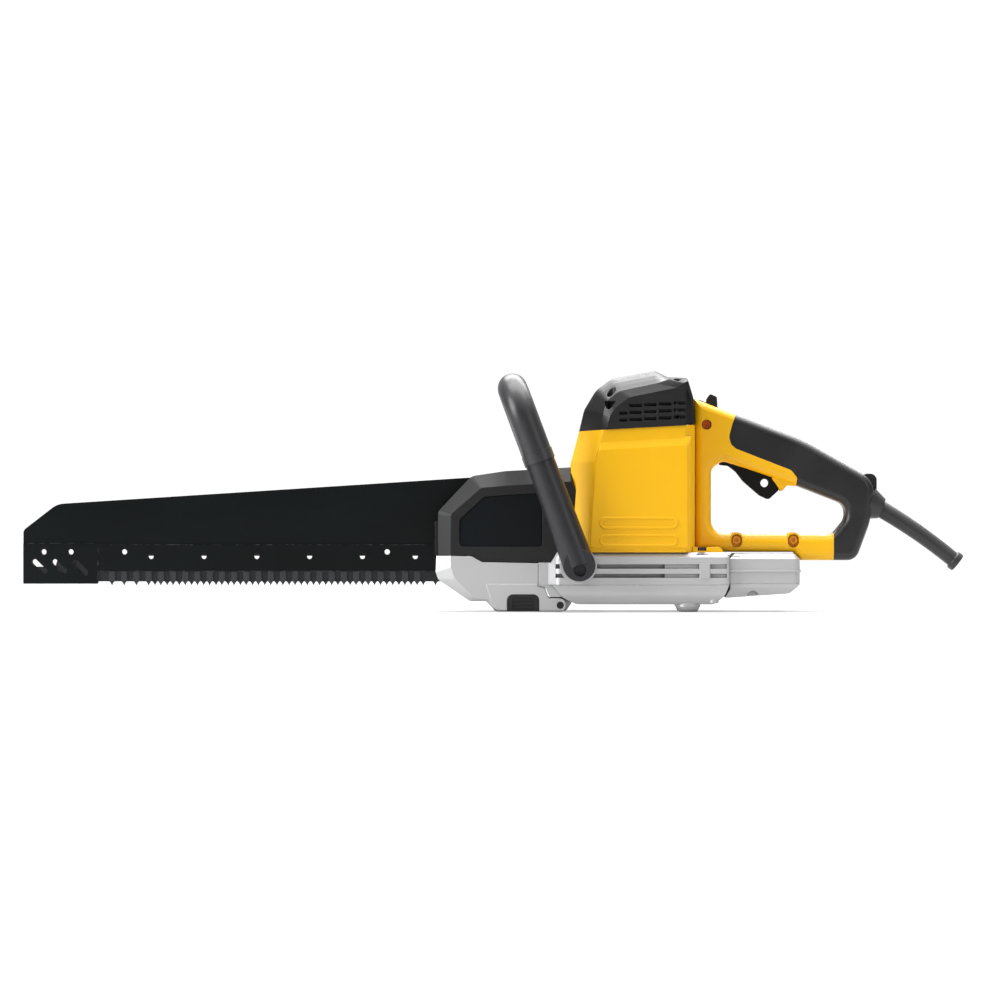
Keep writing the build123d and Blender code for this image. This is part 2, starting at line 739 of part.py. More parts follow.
def guard_outline(inset):
    """Rim of the guard and its flat face, each drawn in by inset, with the same corners."""
    rim = [
        (-57.6 + inset, 58.4), (-57.8 + inset, 104.0 - 0.4 * inset), (-23.0 + 0.4 * inset, 140.8 - inset),
        (12.0, 146.0 - inset), (81.0 - 0.5 * inset, 150.0 - inset), (88.0 - inset, 136.0),
        (88.0 - inset, 62.2), (65.8, 62.2), (59.0, 51.2), (-11.7, 51.9), (-22.5, 58.2),
    ]
    face = [
        (-44.7 + inset, 58.4), (-44.4 + inset, 101.0 - 0.4 * inset), (-12.8 + 0.4 * inset, 128.4 - inset),
        (12.2, 130.6 - inset), (80.0 - 0.5 * inset, 135.0 - inset), (88.0 - inset, 122.0),
        (88.0 - inset, 62.2), (65.8, 62.2), (59.0, 51.2), (-11.7, 51.9), (-22.5, 58.2),
    ]
    return rim, face


def guard_body(inset, mode):
    """Half of the guard: a straight rim next to the mid-plane and a bevel out to the face."""
    rim, face = guard_outline(inset)
    rim_rounding = [0, 9, 12, 5, 3, 2, 0, 0, 1, 1, 1]
    face_rounding = [0, 4, 5, 3, 2, 2, 0, 0, 1, 1, 1]
    side_slab(rim, rim_rounding, -guard_rim, 0, mode=mode)
    with BuildSketch(side_plane(-guard_rim)) as rim_section:
        with BuildLine():
            FilletPolyline(rim, radius=rim_rounding, close=True)
        make_face()
    with BuildSketch(side_plane(-guard_half + inset)) as face_section:
        with BuildLine():
            FilletPolyline(face, radius=face_rounding, close=True)
        make_face()
    loft([rim_section.sketch, face_section.sketch], ruled=True, mode=mode)


guard_recess = [(-35.6, 67.5), (-35.3, 96.0), (-9.5, 119.6), (12.2, 121.2), (50.5, 123.4), (50.5, 67.5)]

with BuildPart() as front_guard_left:
    guard_body(0, Mode.ADD)
    side_slab([(-61.2, 58.4), (-61.2, 93.9), (-54, 93.9), (-54, 58.4)], [0, 2.5, 0, 0], -9, -guard_slot)
    guard_body(3.2, Mode.SUBTRACT)
    block((-40, 80), (-22, 0), (45, 64), mode=Mode.SUBTRACT)
    side_slab(guard_recess, [5, 5, 6, 5, 4, 4], -guard_half - 1, -guard_half + 1.6, mode=Mode.SUBTRACT)
    block((-62, -21), (-guard_slot, 0), (50, 140.6), mode=Mode.SUBTRACT)
    motor_body(-0.5, case_top - 1, mode=Mode.SUBTRACT)
save(front_guard_left, "front_guard_left")
save(mirrored(front_guard_left), "front_guard_right")

# ---------------------------------------------------------------- gear case
case_plan = [
    (46.6, -31.0), (57.0, -31.0), (66.0, -case_half), (case_rear, -case_half),
    (case_rear, case_half), (66.0, case_half), (57.0, 31.0), (46.6, 31.0),
]
groove_bridge_x = (213.4, 223.2)
groove_runs = ((64.0, 177.0, 6.3), (177.0, 212.6, 3.0), (224.0, 241.0, 3.0))
groove_wall_x = (64.0, 178.5)
groove_wall_inner = 38.2
groove_bands = ((44.9, 49.6), (35.5, 39.7))
bail_boss = (87.6, 48.3, 19.2)
bail_boss_half = 50.4
case_bevel = 5.0
bail_bolt = (88.8, 43.7)
case_screw_places = ((108.0, 33.0), (145.0, 33.0), (228.0, 37.6))
hinge_lug_half = 23.4

def cover_body(inset, mode):
    """Bottom cover as the meeting of its long section and its cross section, drawn in by inset."""
    lowest = 7.6 + inset
    long_section = [
        (60.6 + inset, case_seam - 0.3), (71.0 + inset, 15.4 + 0.5 * inset), (86.0, lowest),
        (228.8, lowest), (238.6 - inset, 16.6 + 0.5 * inset), (243.6 - inset, case_seam - 0.3),
    ]
    cross_section = [
        (case_half - inset, case_seam - 0.3), (case_half - inset, 18.0), (37.0, lowest),
        (-37.0, lowest), (-case_half + inset, 18.0), (-case_half + inset, case_seam - 0.3),
    ]
    with BuildPart(mode=Mode.PRIVATE) as body:
        side_slab(long_section, [0, 14, 14, 9, 12, 0], -60, 60)
        with BuildSketch(Plane.YZ.offset(40)) as section:
            with BuildLine():
                FilletPolyline(cross_section, radius=[0, 9, 11, 11, 9, 0], close=True)
            make_face()
        extrude(section.sketch, amount=240, mode=Mode.INTERSECT)
    return add(body.part, mode=mode)


with BuildPart() as gear_case:
    with BuildSketch(Plane.XY.offset(case_seam)) as plan:
        with BuildLine():
            FilletPolyline(case_plan, radius=[0, 0, 6, 6.5, 6.5, 6, 0, 0], close=True)
        make_face()
    extrude(plan.sketch, amount=case_top - case_bevel - case_seam)
    extrude(Pos(0, 0, case_top - case_bevel - case_seam) * plan.sketch, amount=case_bevel, taper=45)
    nose_profile = [(46.6, 45.0), (46.6, 26.9), (53.9, 25.5), (58.1, 15.4), (76.0, 15.4), (76.0, 45.0)]
    side_slab(nose_profile, [0, 1, 2.8, 3.4, 0, 0], -30.0, 30.0)
    hinge_lug = [(60.6, 20.0), (63.0, 0.8), (75.2, 0.8), (81.0, 8.6), (81.0, 16.0), (74.0, 20.0)]
    side_slab(hinge_lug, [0, 6, 4, 0, 0, 0], -hinge_lug_half, hinge_lug_half)
    cover_body(-0.3, Mode.SUBTRACT)
    hinge_x, hinge_z = door_hinge
    rod((hinge_x, -40, hinge_z), (hinge_x, 40, hinge_z), 3.75, mode=Mode.SUBTRACT)
    inner_plan = [
        (62.6, -27.0), (69.4, -42.2), (case_rear - 4, -42.2),
        (case_rear - 4, 42.2), (69.4, 42.2), (62.6, 27.0),
    ]
    side_slab([(40, 51.0), (59.4, 51.0), (66.3, 62.4), (40, 63)], 0, -60, 60, mode=Mode.SUBTRACT)
    with BuildSketch(Plane.XY.offset(case_seam - 1)) as hollow:
        with BuildLine():
            FilletPolyline(inner_plan, radius=3, close=True)
        make_face()
    extrude(hollow.sketch, amount=case_top - case_wall - case_seam + 1, mode=Mode.SUBTRACT)
    for side in (-1, 1):
        block(groove_wall_x, sorted((side * groove_wall_inner, side * 43.0)), (33.0, 51.5))
    rod((motor_x, 0, case_top - case_wall), (motor_x, 0, 68.0), 15.5)
    rod((crank_x, 0, 50), (crank_x, 0, crank_bearing_z[1]), 13.0, mode=Mode.SUBTRACT)
    rod((motor_x, 0, 50), (motor_x, 0, 65.5), 12.0, mode=Mode.SUBTRACT)
    rod((motor_x, 0, 50), (motor_x, 0, 72), 8.5, mode=Mode.SUBTRACT)
    block((40, 71), (-18, 18), (18.6, 50.6), mode=Mode.SUBTRACT)
    block((40, 71), (-4, 4), (50, 54.8), mode=Mode.SUBTRACT)
    for x, y in case_screw_places:
        for side in (-1, 1):
            rod((x, side * y, case_seam), (x, side * y, 44), 3.6)
            block((x - 2, x + 2), sorted((side * y, side * 43)), (case_seam, 44))
            rod((x, side * y, case_seam - 1), (x, side * y, 42), 1.7, mode=Mode.SUBTRACT)
    for low, high, depth in groove_runs:
        for band in groove_bands:
            for side in (-1, 1):
                block((low, high), sorted((side * (case_half - depth), side * 60)), band, mode=Mode.SUBTRACT)
    for side in (-1, 1):
        boss_inner = side * (motor_side + 0.4)
        boss_x, boss_z, boss_r = bail_boss
        rod((boss_x, boss_inner, boss_z), (boss_x, side * bail_boss_half, boss_z), boss_r)
        block(groove_bridge_x, sorted((side * 42, side * 47.2)), (34.8, 50.4))
    for side in (-1, 1):
        relief_at = (flange_screw[0], side * 47.5)
        rod((*relief_at, 58.8), (*relief_at, 70), 7.0, mode=Mode.SUBTRACT)
        place = (flange_screw[0], side * flange_screw[1])
        rod((*place, 58.4), (*place, 70), flange_shank_r + 0.05, mode=Mode.SUBTRACT)
    block((bushing_x[0], bushing_x[1]), (-26, 26), (case_seam, 57.8))
    block((bushing_x[0] - 1, bushing_x[1] + 1), (-16.1, 1.3), (33.5, 50.1), mode=Mode.SUBTRACT)
    block((bushing_x[0] - 1, bushing_x[1] + 1), (-1.3, 16.1), (16.9, 33.5), mode=Mode.SUBTRACT)
    block((case_rear - 8, case_rear + 1), (-11, 11), (20, 50), mode=Mode.SUBTRACT)
    for side in (-1, 1):
        rod((bail_bolt[0], side * 30, bail_bolt[1]), (bail_bolt[0], side * 43, bail_bolt[1]), 9.0)
        bolt_x, bolt_z = bail_bolt
        rod((bolt_x, side * 28, bolt_z), (bolt_x, side * 60, bolt_z), 4.1, mode=Mode.SUBTRACT)
        cheek = sorted((side * core_half, side * bar_grip_half))
        block((56.0, 73.4), cheek, (case_top - 4, 127.0))
        for z in bar_bolt_z:
            rod((bar_bolt_x, side, z), (bar_bolt_x, side * 20, z), bar_bolt_r + 0.2, mode=Mode.SUBTRACT)
save(gear_case, "gear_case")

foot_x = 202.0
foot_y = 26.0


with BuildPart() as case_bottom_cover:
    cover_body(0, Mode.ADD)
    cover_body(3.6, Mode.SUBTRACT)
    for side in (-1, 1):
        rod((foot_x, side * foot_y, 12.5), (foot_x, side * foot_y, 5.0), 12.6)
        rod((foot_x, side * foot_y, 5.0), (foot_x, side * foot_y, 0), 12.0, end_radius=9.4)
    rod((crank_x, 0, 9.0), (crank_x, 0, 16.8), 14.0)
    rod((crank_x, 0, 12.0), (crank_x, 0, 17.5), 9.0, mode=Mode.SUBTRACT)
    rod((crank_x, 0, 11.0), (crank_x, 0, 17.5), 7.0, mode=Mode.SUBTRACT)
    for x, y in case_screw_places:
        for side in (-1, 1):
            rod((x, side * y, 9.0), (x, side * y, case_seam - 0.3), 5.0)
            rod((x, side * y, 0), (x, side * y, 15.0), 3.4, mode=Mode.SUBTRACT)
            rod((x, side * y, 0), (x, side * y, 40), 1.8, mode=Mode.SUBTRACT)
    block((bushing_x[0] + 1, bushing_x[1]), (-20, 20), (15.0, case_seam - 0.3))
    block((bushing_x[0] - 1, bushing_x[1] + 1), (-1.3, 16.1), (16.9, 33.5), mode=Mode.SUBTRACT)
    block((50, bushing_x[0] + 1), (-18, 18), (18.6, 40), mode=Mode.SUBTRACT)
    block((230, 250), (-8, 8), (22.0, 40), mode=Mode.SUBTRACT)
save(case_bottom_cover, "case_bottom_cover")

with BuildPart() as case_screws:
    for x, y in case_screw_places:
        for side in (-1, 1):
            rod((x, side * y, 12.0), (x, side * y, 15.0), 3.2)
            rod((x, side * y, 15.0), (x, side * y, 40.0), 1.7)
save(case_screws, "case_screws")

# ---------------------------------------------------------------- rear extension
extension_end = 317.6
extension_seam = 29.6
extension_top = 60.4
extension_bevel = 5.4


def extension_plan(inset, rear):
    """Top view of the rear extension, drawn in by inset on the sides and the back."""
    side = extension_half - inset
    return [(case_rear + 0.4, -side), (rear, -side), (rear, side), (case_rear + 0.4, side)]


with BuildPart() as rear_extension:
    with BuildSketch(Plane.XY.offset(extension_seam)) as base:
        with BuildLine():
            FilletPolyline(extension_plan(0, extension_end), radius=[0, 9, 9, 0], close=True)
        make_face()
    extrude(base.sketch, amount=extension_top - extension_bevel - extension_seam)
    extrude(Pos(0, 0, extension_top - extension_bevel - extension_seam) * base.sketch,
            amount=extension_bevel, taper=45)
    with BuildSketch(Plane.XY.offset(41.2)) as bead:
        with BuildLine():
            FilletPolyline(extension_plan(-1.1, extension_end + 1.1), radius=[0, 10, 10, 0], close=True)
        make_face()
    extrude(amount=2.4)
    with BuildSketch(Plane.XY.offset(extension_seam - 1)) as hollow:
        with BuildLine():
            FilletPolyline(extension_plan(3.2, extension_end - 3.2), radius=[0, 6, 6, 0], close=True)
        make_face()
    extrude(amount=extension_top - 3.2 - extension_seam + 1, mode=Mode.SUBTRACT)
    block((246.0, 256.0), (-extension_half + 2, extension_half - 2), (extension_seam, 58))
    block((245.0, 257.0), (-10.05, 10.05), (33.95, 49.05), mode=Mode.SUBTRACT)
    block((245.0, 257.0), (-10.05, 10.05), (20.0, 31.65), mode=Mode.SUBTRACT)
save(rear_extension, "rear_extension")

notch = (268.8, 15.4)


def extension_cover_body(inset, mode):
    """Sloping lower cover behind the gear case, drawn in by inset."""
    upper = extension_seam - 0.2
    long_section = [
        (case_rear + 1.0 + inset, upper), (case_rear + 1.0 + inset, 24.0),
        (239.8 + 1.4 * inset, 14.2 + inset),
        (306.5 - inset, 19.0 + inset), (316.8 - inset, 28.0), (317.0 - inset, upper),
    ]
    cross_section = [
        (extension_half - inset, upper), (extension_half - inset, 26.0), (29.0, 13.0 + inset),
        (-29.0, 13.0 + inset), (-extension_half + inset, 26.0), (-extension_half + inset, upper),
    ]
    with BuildPart(mode=Mode.PRIVATE) as body:
        side_slab(long_section, [0, 1, 1, 6, 1, 0], -60, 60)
        with BuildSketch(Plane.YZ.offset(230)) as section:
            with BuildLine():
                FilletPolyline(cross_section, radius=[0, 4, 6, 6, 4, 0], close=True)
            make_face()
        extrude(section.sketch, amount=100, mode=Mode.INTERSECT)
    return add(body.part, mode=mode)


with BuildPart() as extension_cover_room:
    extension_cover_body(2.6, Mode.ADD)
    for side in (-1, 1):
        notch_x, notch_z = notch
        rod((notch_x, side * 24, notch_z), (notch_x, side * 44, notch_z), 9.0, mode=Mode.SUBTRACT)

with BuildPart() as extension_cover:
    extension_cover_body(0, Mode.ADD)
    add(extension_cover_room.part, mode=Mode.SUBTRACT)
    for side in (-1, 1):
        rod((notch_x, side * 26, notch_z), (notch_x, side * 44, notch_z), 6.5, mode=Mode.SUBTRACT)
    block((244.0, 257.0), (-10.05, 10.05), (20.4, 31.65), mode=Mode.SUBTRACT)
save(extension_cover, "extension_cover")

# ---------------------------------------------------------------- rear handle
handle_front = 208.6
handle_low = 61.9
handle_top_z = 221.3
handle_rear_low = 53.2

handle_outline = [
    (handle_front, handle_top_z), (320.0, 179.2), (397.5, 135.5), (391.5, 92.0), (377.0, handle_rear_low),
    (319.4, handle_rear_low), (312.6, handle_low), (handle_front, handle_low),
]
handle_rounding = [0, 200, 22, 60, 13, 3, 3, 0]
handle_opening = [
    (226.3, 148.0), (226.3, 80.8), (352.0, 79.0), (366.5, 97.0), (364.8, 111.5), (314.5, 131.2),
    (263.4, 148.6), (238.0, 156.5),
]
opening_rounding = [9, 14, 14, 14, 12, 40, 30, 9]
finger_stop = [
    (315.0, 140.0), (314.5, 130.4), (305.5, 131.2), (299.6, 124.6), (290.0, 138.0), (290.0, 145.0),
]


def handle_face(inset):
    """Side view of the whole rear handle with its hand opening, drawn in by inset."""
    with BuildSketch(side_plane(0)) as face:
        with BuildLine():
            FilletPolyline(handle_outline, radius=handle_rounding, close=True)
        make_face()
        with BuildLine():
            FilletPolyline(handle_opening, radius=opening_rounding, close=True)
        make_face(mode=Mode.SUBTRACT)
        if inset:
            offset(amount=-inset, kind=Kind.INTERSECTION, mode=Mode.REPLACE)
    return face.sketch


grip_edge = [
    (251.4, 240.0), (251.4, 203.5), (248.2, 194.8), (244.7, 182.0), (246.8, 173.6), (252.2, 169.2),
    (309.7, 146.8), (315.6, 139.0), (314.5, 130.0), (320.0, 100.0), (353.7, 92.0), (353.7, 40.0),
    (420.0, 40.0), (420.0, 240.0),
]
grip_edge_rounding = [0, 3, 12, 10, 8, 6, 8, 3, 4, 10, 2, 0, 0, 0]

with BuildPart() as handle_solid:
    extrude(handle_face(0), amount=handle_half, both=True)
    fillet(handle_solid.faces().filter_by(Axis.Y).edges(), radius=8)

with BuildPart() as grip_zone:
    side_slab(grip_edge, grip_edge_rounding, -40, 40)

with BuildPart() as handle_core:
    extrude(handle_face(grip_skin), amount=handle_half - grip_skin, both=True)

with BuildPart() as handle_hollow:
    extrude(handle_face(grip_skin + handle_wall), amount=handle_half - grip_skin - handle_wall, both=True)

with BuildPart() as rear_grip:
    add(handle_solid.part)
    add(grip_zone.part, mode=Mode.INTERSECT)
    add(handle_core.part, mode=Mode.SUBTRACT)
save(rear_grip, "rear_grip")

screw_recesses = ((221.4, 194.3, 5.2), (252.7, 74.6, 5.8), (311.7, 74.6, 5.8))
recess_drop = 2.3
trigger_slot = [
    (231.0, 150.0), (246.0, 140.0), (278.0, 112.0), (301.5, 120.0),
    (300.0, 152.0), (270.0, 172.0), (231.0, 172.0),
]
trigger_slot_half = 6.8
handle_slope = degrees(acos(42.0 / sqrt(42.0**2 + 16.9**2)))
button_centre = (223.6, 215.3)
button_slot_half = 6.6
button_travel = 6.0


def on_slope(along, up):
    """Point given along the sloping top of the handle and up from it, as (x, z)."""
    lean = radians(handle_slope)
    return (
        button_centre[0] + along * cos(lean) + up * sin(lean),
        button_centre[1] - along * sin(lean) + up * cos(lean),
    )


def slope_box(along, up):
    """Rectangle on the sloping top, from its ranges along and up."""
    front, back = along
    low, high = up
    return [on_slope(front, low), on_slope(back, low), on_slope(back, high), on_slope(front, high)]


with BuildPart() as handle_pair:
    add(handle_solid.part)
    side_slab(finger_stop, [0, 1, 1, 1.2, 2, 0], -14.0, 14.0)
    add(grip_zone.part, mode=Mode.SUBTRACT)
    with BuildPart(mode=Mode.PRIVATE) as neck:
        extrude(handle_face(grip_skin + 0.05), amount=handle_half - grip_skin - 0.05, both=True)
    add(neck.part)
    add(handle_hollow.part, mode=Mode.SUBTRACT)
    for x, z, r in screw_recesses:
        rod((x, -handle_half + 1, z), (x, handle_half - 1, z), r + 2.0)
    side_slab(trigger_slot, 1, -trigger_slot_half, trigger_slot_half, mode=Mode.SUBTRACT)
    button_slot = slope_box((-17.0, 12.0), (-9.0, 20.0))
    side_slab(button_slot, 0, -button_slot_half, button_slot_half, mode=Mode.SUBTRACT)
    for x, z, r in screw_recesses:
        rod((x, -30, z), (x, -handle_half + 8, z), r, mode=Mode.SUBTRACT)
        rod((x, -30, z), (x, 30, z), 2.1, mode=Mode.SUBTRACT)
    for x, z, r in screw_recesses[1:]:
        rod((x, -30, z - recess_drop), (x, -handle_half + 8, z - recess_drop), r, mode=Mode.SUBTRACT)
    pivot_x, pivot_z = trigger_pivot
    rod((pivot_x, -10.2, pivot_z), (pivot_x, 10.2, pivot_z), 2.1, mode=Mode.SUBTRACT)
    rod((396.0, 0, 110.4), (380.0, 0, 116.4), 5.5, mode=Mode.SUBTRACT)
    block((300, 360), (-40, 40), (0, handle_rear_low), mode=Mode.SUBTRACT)

for side, keep, name in ((-1, Keep.TOP, "handle_shell_left"), (1, Keep.BOTTOM, "handle_shell_right")):
    with BuildPart() as handle_shell:
        add(handle_pair.part)
        split(bisect_by=Plane.XZ, keep=keep)
    save(handle_shell, name)

with BuildPart() as handle_screws:
    for x, z, r in screw_recesses:
        rod((x, -handle_half + 8, z), (x, -handle_half + 4.6, z), 4.2)
        rod((x, -handle_half + 8, z), (x, handle_half - 4, z), 2.0)
        with BuildSketch(side_plane(-handle_half + 4.6)) as recess:
            with Locations((x, z)):
                RegularPolygon(2.3, 6)
        extrude(recess.sketch, amount=-2, mode=Mode.SUBTRACT)
save(handle_screws, "handle_screws")

switch_box = ((244.0, 292.0), (-9.0, 9.0), (173.0, 187.0))
with BuildPart() as switch_module:
    block((250.0, 288.0), (-8.5, 8.5), (166.0, 182.0))
    rod((258.0, 0, 163.2), (258.0, 0, 166.0), 3.0)
save(switch_module, "switch_module")

# ---------------------------------------------------------------- trigger and lock-off
trigger_outline = [
    (234.4, 161.5), (235.4, 152.4), (244.5, 151.4), (252.4, 145.2), (260.0, 135.4), (277.0, 120.6),
    (286.4, 116.2), (297.6, 126.4), (291.0, 143.0), (262.0, 158.5), (243.0, 162.5),
]
trigger_half = 6.3
padlock_hole = (282.4, 133.6)
padlock_r = 4.3

with BuildPart() as trigger:
    side_slab(trigger_outline, [3, 1, 4, 8, 10, 12, 4, 3, 8, 8, 3], -trigger_half, trigger_half)
    for centre, radius in ((padlock_hole, padlock_r), (trigger_pivot, 2.1)):
        rod((centre[0], -9, centre[1]), (centre[0], 9, centre[1]), radius, mode=Mode.SUBTRACT)
save(trigger, "trigger")

with BuildPart() as trigger_pin:
    rod((trigger_pivot[0], -10.0, trigger_pivot[1]), (trigger_pivot[0], 10.0, trigger_pivot[1]), 2.05)
save(trigger_pin, "trigger_pin")

with BuildPart() as lock_off_button:
    side_slab(slope_box((-10.5, 11.5), (-2.4, 1.2)), 1, -6.2, 6.2)
    side_slab(slope_box((-6.0, 4.0), (-8.0, -2.4)), 0.5, -3.5, 3.5)
    nub = [(221.6, 214.0), (222.0, 221.0), (225.8, 226.6), (232.8, 223.4), (233.4, 211.6)]
    side_slab(nub, [0, 3, 2, 2, 0], -5.6, 5.6)
save(lock_off_button, "lock_off_button")

# ---------------------------------------------------------------- cord hook, gland and sleeve
sleeve_path = ((404.0, 106.6), (444.6, 80.5), (479.35, 54.0))
sleeve_radii = (8.9, 8.4, 8.0)
sleeve_dirs = ((0.88, -0.475), (0.81, -0.586), (0.79, -0.613))
flare_r = 10.0
flare_length = 7.0
cord_bore_r = 4.75


def upright_plane(point, direction):
    """Plane across a direction that lies in X and Z."""
    return Plane(origin=(point[0], 0, point[1]), x_dir=(0, 1, 0), z_dir=(direction[0], 0, direction[1]))


with BuildPart() as cord_gland:
    with BuildSketch(upright_plane((391.5, 112.3), (0.928, -0.373))) as gland_base:
        Circle(17.5)
    with BuildSketch(upright_plane((405.0, 106.9), (0.928, -0.373))) as gland_face:
        Circle(10.9)
    loft([gland_base.sketch, gland_face.sketch])
    add(handle_solid.part, mode=Mode.SUBTRACT)
    rod((380.0, 0, 120.0), (412.0, 0, 102.5), 9.2, mode=Mode.SUBTRACT)
save(cord_gland, "cord_gland")

with BuildPart() as cord_hook:
    side_slab([(384, 126), (384, 143.4), (399.6, 143.4), (399.6, 126)], [2, 6, 6.8, 2], -3.5, 3.5)
    add(handle_solid.part, mode=Mode.SUBTRACT)
    add(cord_gland.part, mode=Mode.SUBTRACT)
save(cord_hook, "cord_hook")

with BuildPart() as cord_sleeve:
    stations = []
    for point, r, direction in zip(sleeve_path, sleeve_radii, sleeve_dirs):
        with BuildSketch(upright_plane(point, direction)) as station:
            Circle(r)
        stations.append(station.sketch)
    loft(stations)
    end = Vector(sleeve_path[-1][0], 0, sleeve_path[-1][1])
    run = Vector(sleeve_dirs[-1][0], 0, sleeve_dirs[-1][1]).normalized()
    flare_start = end - run * 0.5
    rod(tuple(flare_start), tuple(flare_start + run * flare_length), flare_r)
    round_edges = cord_sleeve.edges().filter_by(GeomType.CIRCLE)
    flare_edges = round_edges.filter_by(lambda e: abs(e.radius - flare_r) < 0.01)
    fillet(flare_edges, radius=1.6)
    rod(tuple(flare_start + run * 8), tuple(flare_start - run * 18), cord_bore_r, mode=Mode.SUBTRACT)
    add(handle_solid.part, mode=Mode.SUBTRACT)
save(cord_sleeve, "cord_sleeve")

# ---------------------------------------------------------------- bail handle
bail_run = Vector(bail_top[0] - bail_foot[0], 0, bail_top[1] - bail_foot[1])
bail_plane = Plane(
    origin=(bail_foot[0], 0, bail_foot[1]),
    x_dir=(0, 1, 0),
    z_dir=Vector(0, 1, 0).cross(bail_run),
)
bail_length = bail_run.length
collar_span = (113.5, 124.5)


def bail_sweep(low, radius, mode=Mode.ADD):
    """Round tube along the bail, both arms starting at the height low above the feet."""
    with BuildLine(bail_plane) as path:
        FilletPolyline(
            (-bail_half, low), (-bail_half, bail_length), (bail_half, bail_length), (bail_half, low),
            radius=bail_corner,
        )
    start = path.line @ 0
    with BuildSketch(Plane(origin=start, z_dir=path.line % 0)) as section:
        Circle(radius)
    return sweep(section.sketch, path=path.line, mode=mode)


def bail_point(side, height):
    """Point on the axis of one arm at a height above the foot."""
    point = bail_plane.from_local_coords(Vector(side * bail_half, height, 0))
    return tuple(point)


foot_inner = 50.6
foot_outer = 80.2
bolt_seat = 66.0

with BuildPart() as front_handle:
    bail_sweep(118.0, bail_core_r)
    for side in (-1, 1):
        rod(bail_point(side, 0.0), bail_point(side, collar_span[0]), 16.4, end_radius=14.9)
        arm_x, arm_z = bail_foot
        rod((arm_x, side * foot_inner, arm_z), (arm_x, side * foot_outer, arm_z), 16.6)
        rod(bail_point(side, collar_span[0] - 1), bail_point(side, collar_span[1] + 1), bail_core_r)
    for side in (-1, 1):
        block((40, 130), sorted((side * 40, side * foot_inner)), (0, 120), mode=Mode.SUBTRACT)
        bolt_x, bolt_z = bail_bolt
        rod((bolt_x, side * bolt_seat, bolt_z), (bolt_x, side * 90, bolt_z), 6.4, mode=Mode.SUBTRACT)
        rod((bolt_x, side * 40, bolt_z), (bolt_x, side * 90, bolt_z), 4.2, mode=Mode.SUBTRACT)
save(front_handle, "front_handle")

with BuildPart() as front_handle_grip:
    bail_sweep(collar_span[1], bail_r)
    bail_sweep(collar_span[1] - 2, bail_core_r + 0.02, mode=Mode.SUBTRACT)
save(front_handle_grip, "front_handle_grip")

with BuildPart() as front_handle_collars:
    for side in (-1, 1):
        rod(bail_point(side, collar_span[0]), bail_point(side, collar_span[1]), bail_r + 0.7)
        collar_low, collar_high = (bail_point(side, height) for height in collar_span)
        rod(collar_low, collar_high, bail_core_r + 0.02, mode=Mode.SUBTRACT)
save(front_handle_collars, "front_handle_collars")

with BuildPart() as front_handle_bolts:
    for side in (-1, 1):
        bolt_x, bolt_z = bail_bolt
        rod((bolt_x, side * bolt_seat, bolt_z), (bolt_x, side * (bolt_seat + 5), bolt_z), 5.9)
        rod((bolt_x, side * 31.0, bolt_z), (bolt_x, side * bolt_seat, bolt_z), 4.0)
        with BuildSketch(side_plane(side * (bolt_seat + 5))) as key:
            with Locations((bolt_x, bolt_z)):
                RegularPolygon(3.2, 6)
        extrude(key.sketch, amount=3 * side, mode=Mode.SUBTRACT)
save(front_handle_bolts, "front_handle_bolts")

# ---------------------------------------------------------------- front door and latches
door_outline = [
    (-59.5, 57.9), (-22.6, 57.4), (-11.9, 51.4), (46.1, 50.3), (46.1, 26.4), (53.4, 25.0),
    (57.6, 14.2), (75.2, 14.2), (75.2, 0.0), (2.0, 0.0), (-7.8, 10.6), (-25.0, 10.8),
    (-57.4, 33.0), (-60.2, 41.0),
]
door_rounding = [0, 1, 1, 0, 3, 3, 3, 7.0, 6.6, 7, 3, 8, 6, 3]
door_face = [
    (-44.7, 57.9), (-22.6, 57.4), (-11.9, 51.4), (46.1, 50.3), (46.1, 26.4), (53.4, 25.0),
    (57.6, 14.2), (75.2, 14.2), (75.2, 0.0), (4.0, 1.0), (-5.8, 13.0), (-20.5, 14.0),
    (-40.0, 34.0), (-44.5, 46.0),
]
door_rim = 20.0
latch_x = (14.1, 47.2)
latch_top = 17.8
latch_gap = 0.4
latch_depth = 19.0
latch_face = 30.8
latch_travel = 2.6


def door_body():
    """Left half of the door: a straight middle and a bevel out to the side face."""
    side_slab(door_outline, door_rounding, -door_rim, 0)
    with BuildSketch(side_plane(-door_rim)) as rim_section:
        with BuildLine():
            FilletPolyline(door_outline, radius=door_rounding, close=True)
        make_face()
    with BuildSketch(side_plane(-door_half)) as face_section:
        with BuildLine():
            FilletPolyline(door_face, radius=door_rounding, close=True)
        make_face()
    loft([rim_section.sketch, face_section.sketch], ruled=True)
    apron_rounding = [0.8, 0, 1.2, 2, 2, 5, 5, 3, 4]
    side_slab(door_apron, apron_rounding, -door_half - door_apron_proud, -door_half, taper=35)


inner_door_front = [
    (60.0, 70.0), (60.0, 19.5), (-26.0, 19.5), (-48.0, 34.5), (-55.0, 45.0), (-56.0, 50.0), (-56.0, 70.0),
]
inner_door_side = [(60.0, 70.0), (60.0, 19.5), (-20.0, 19.5), (-36.0, 34.5), (-41.0, 44.0), (-41.0, 70.0)]
door_apron = [
    (-7.9, 29.0), (45.8, 29.0), (45.8, 26.1), (53.1, 24.7), (57.3, 13.9), (74.9, 13.9), (74.9, 0.3),
    (6.0, 1.2), (-2.6, 11.5),
]
door_apron_proud = 0.8

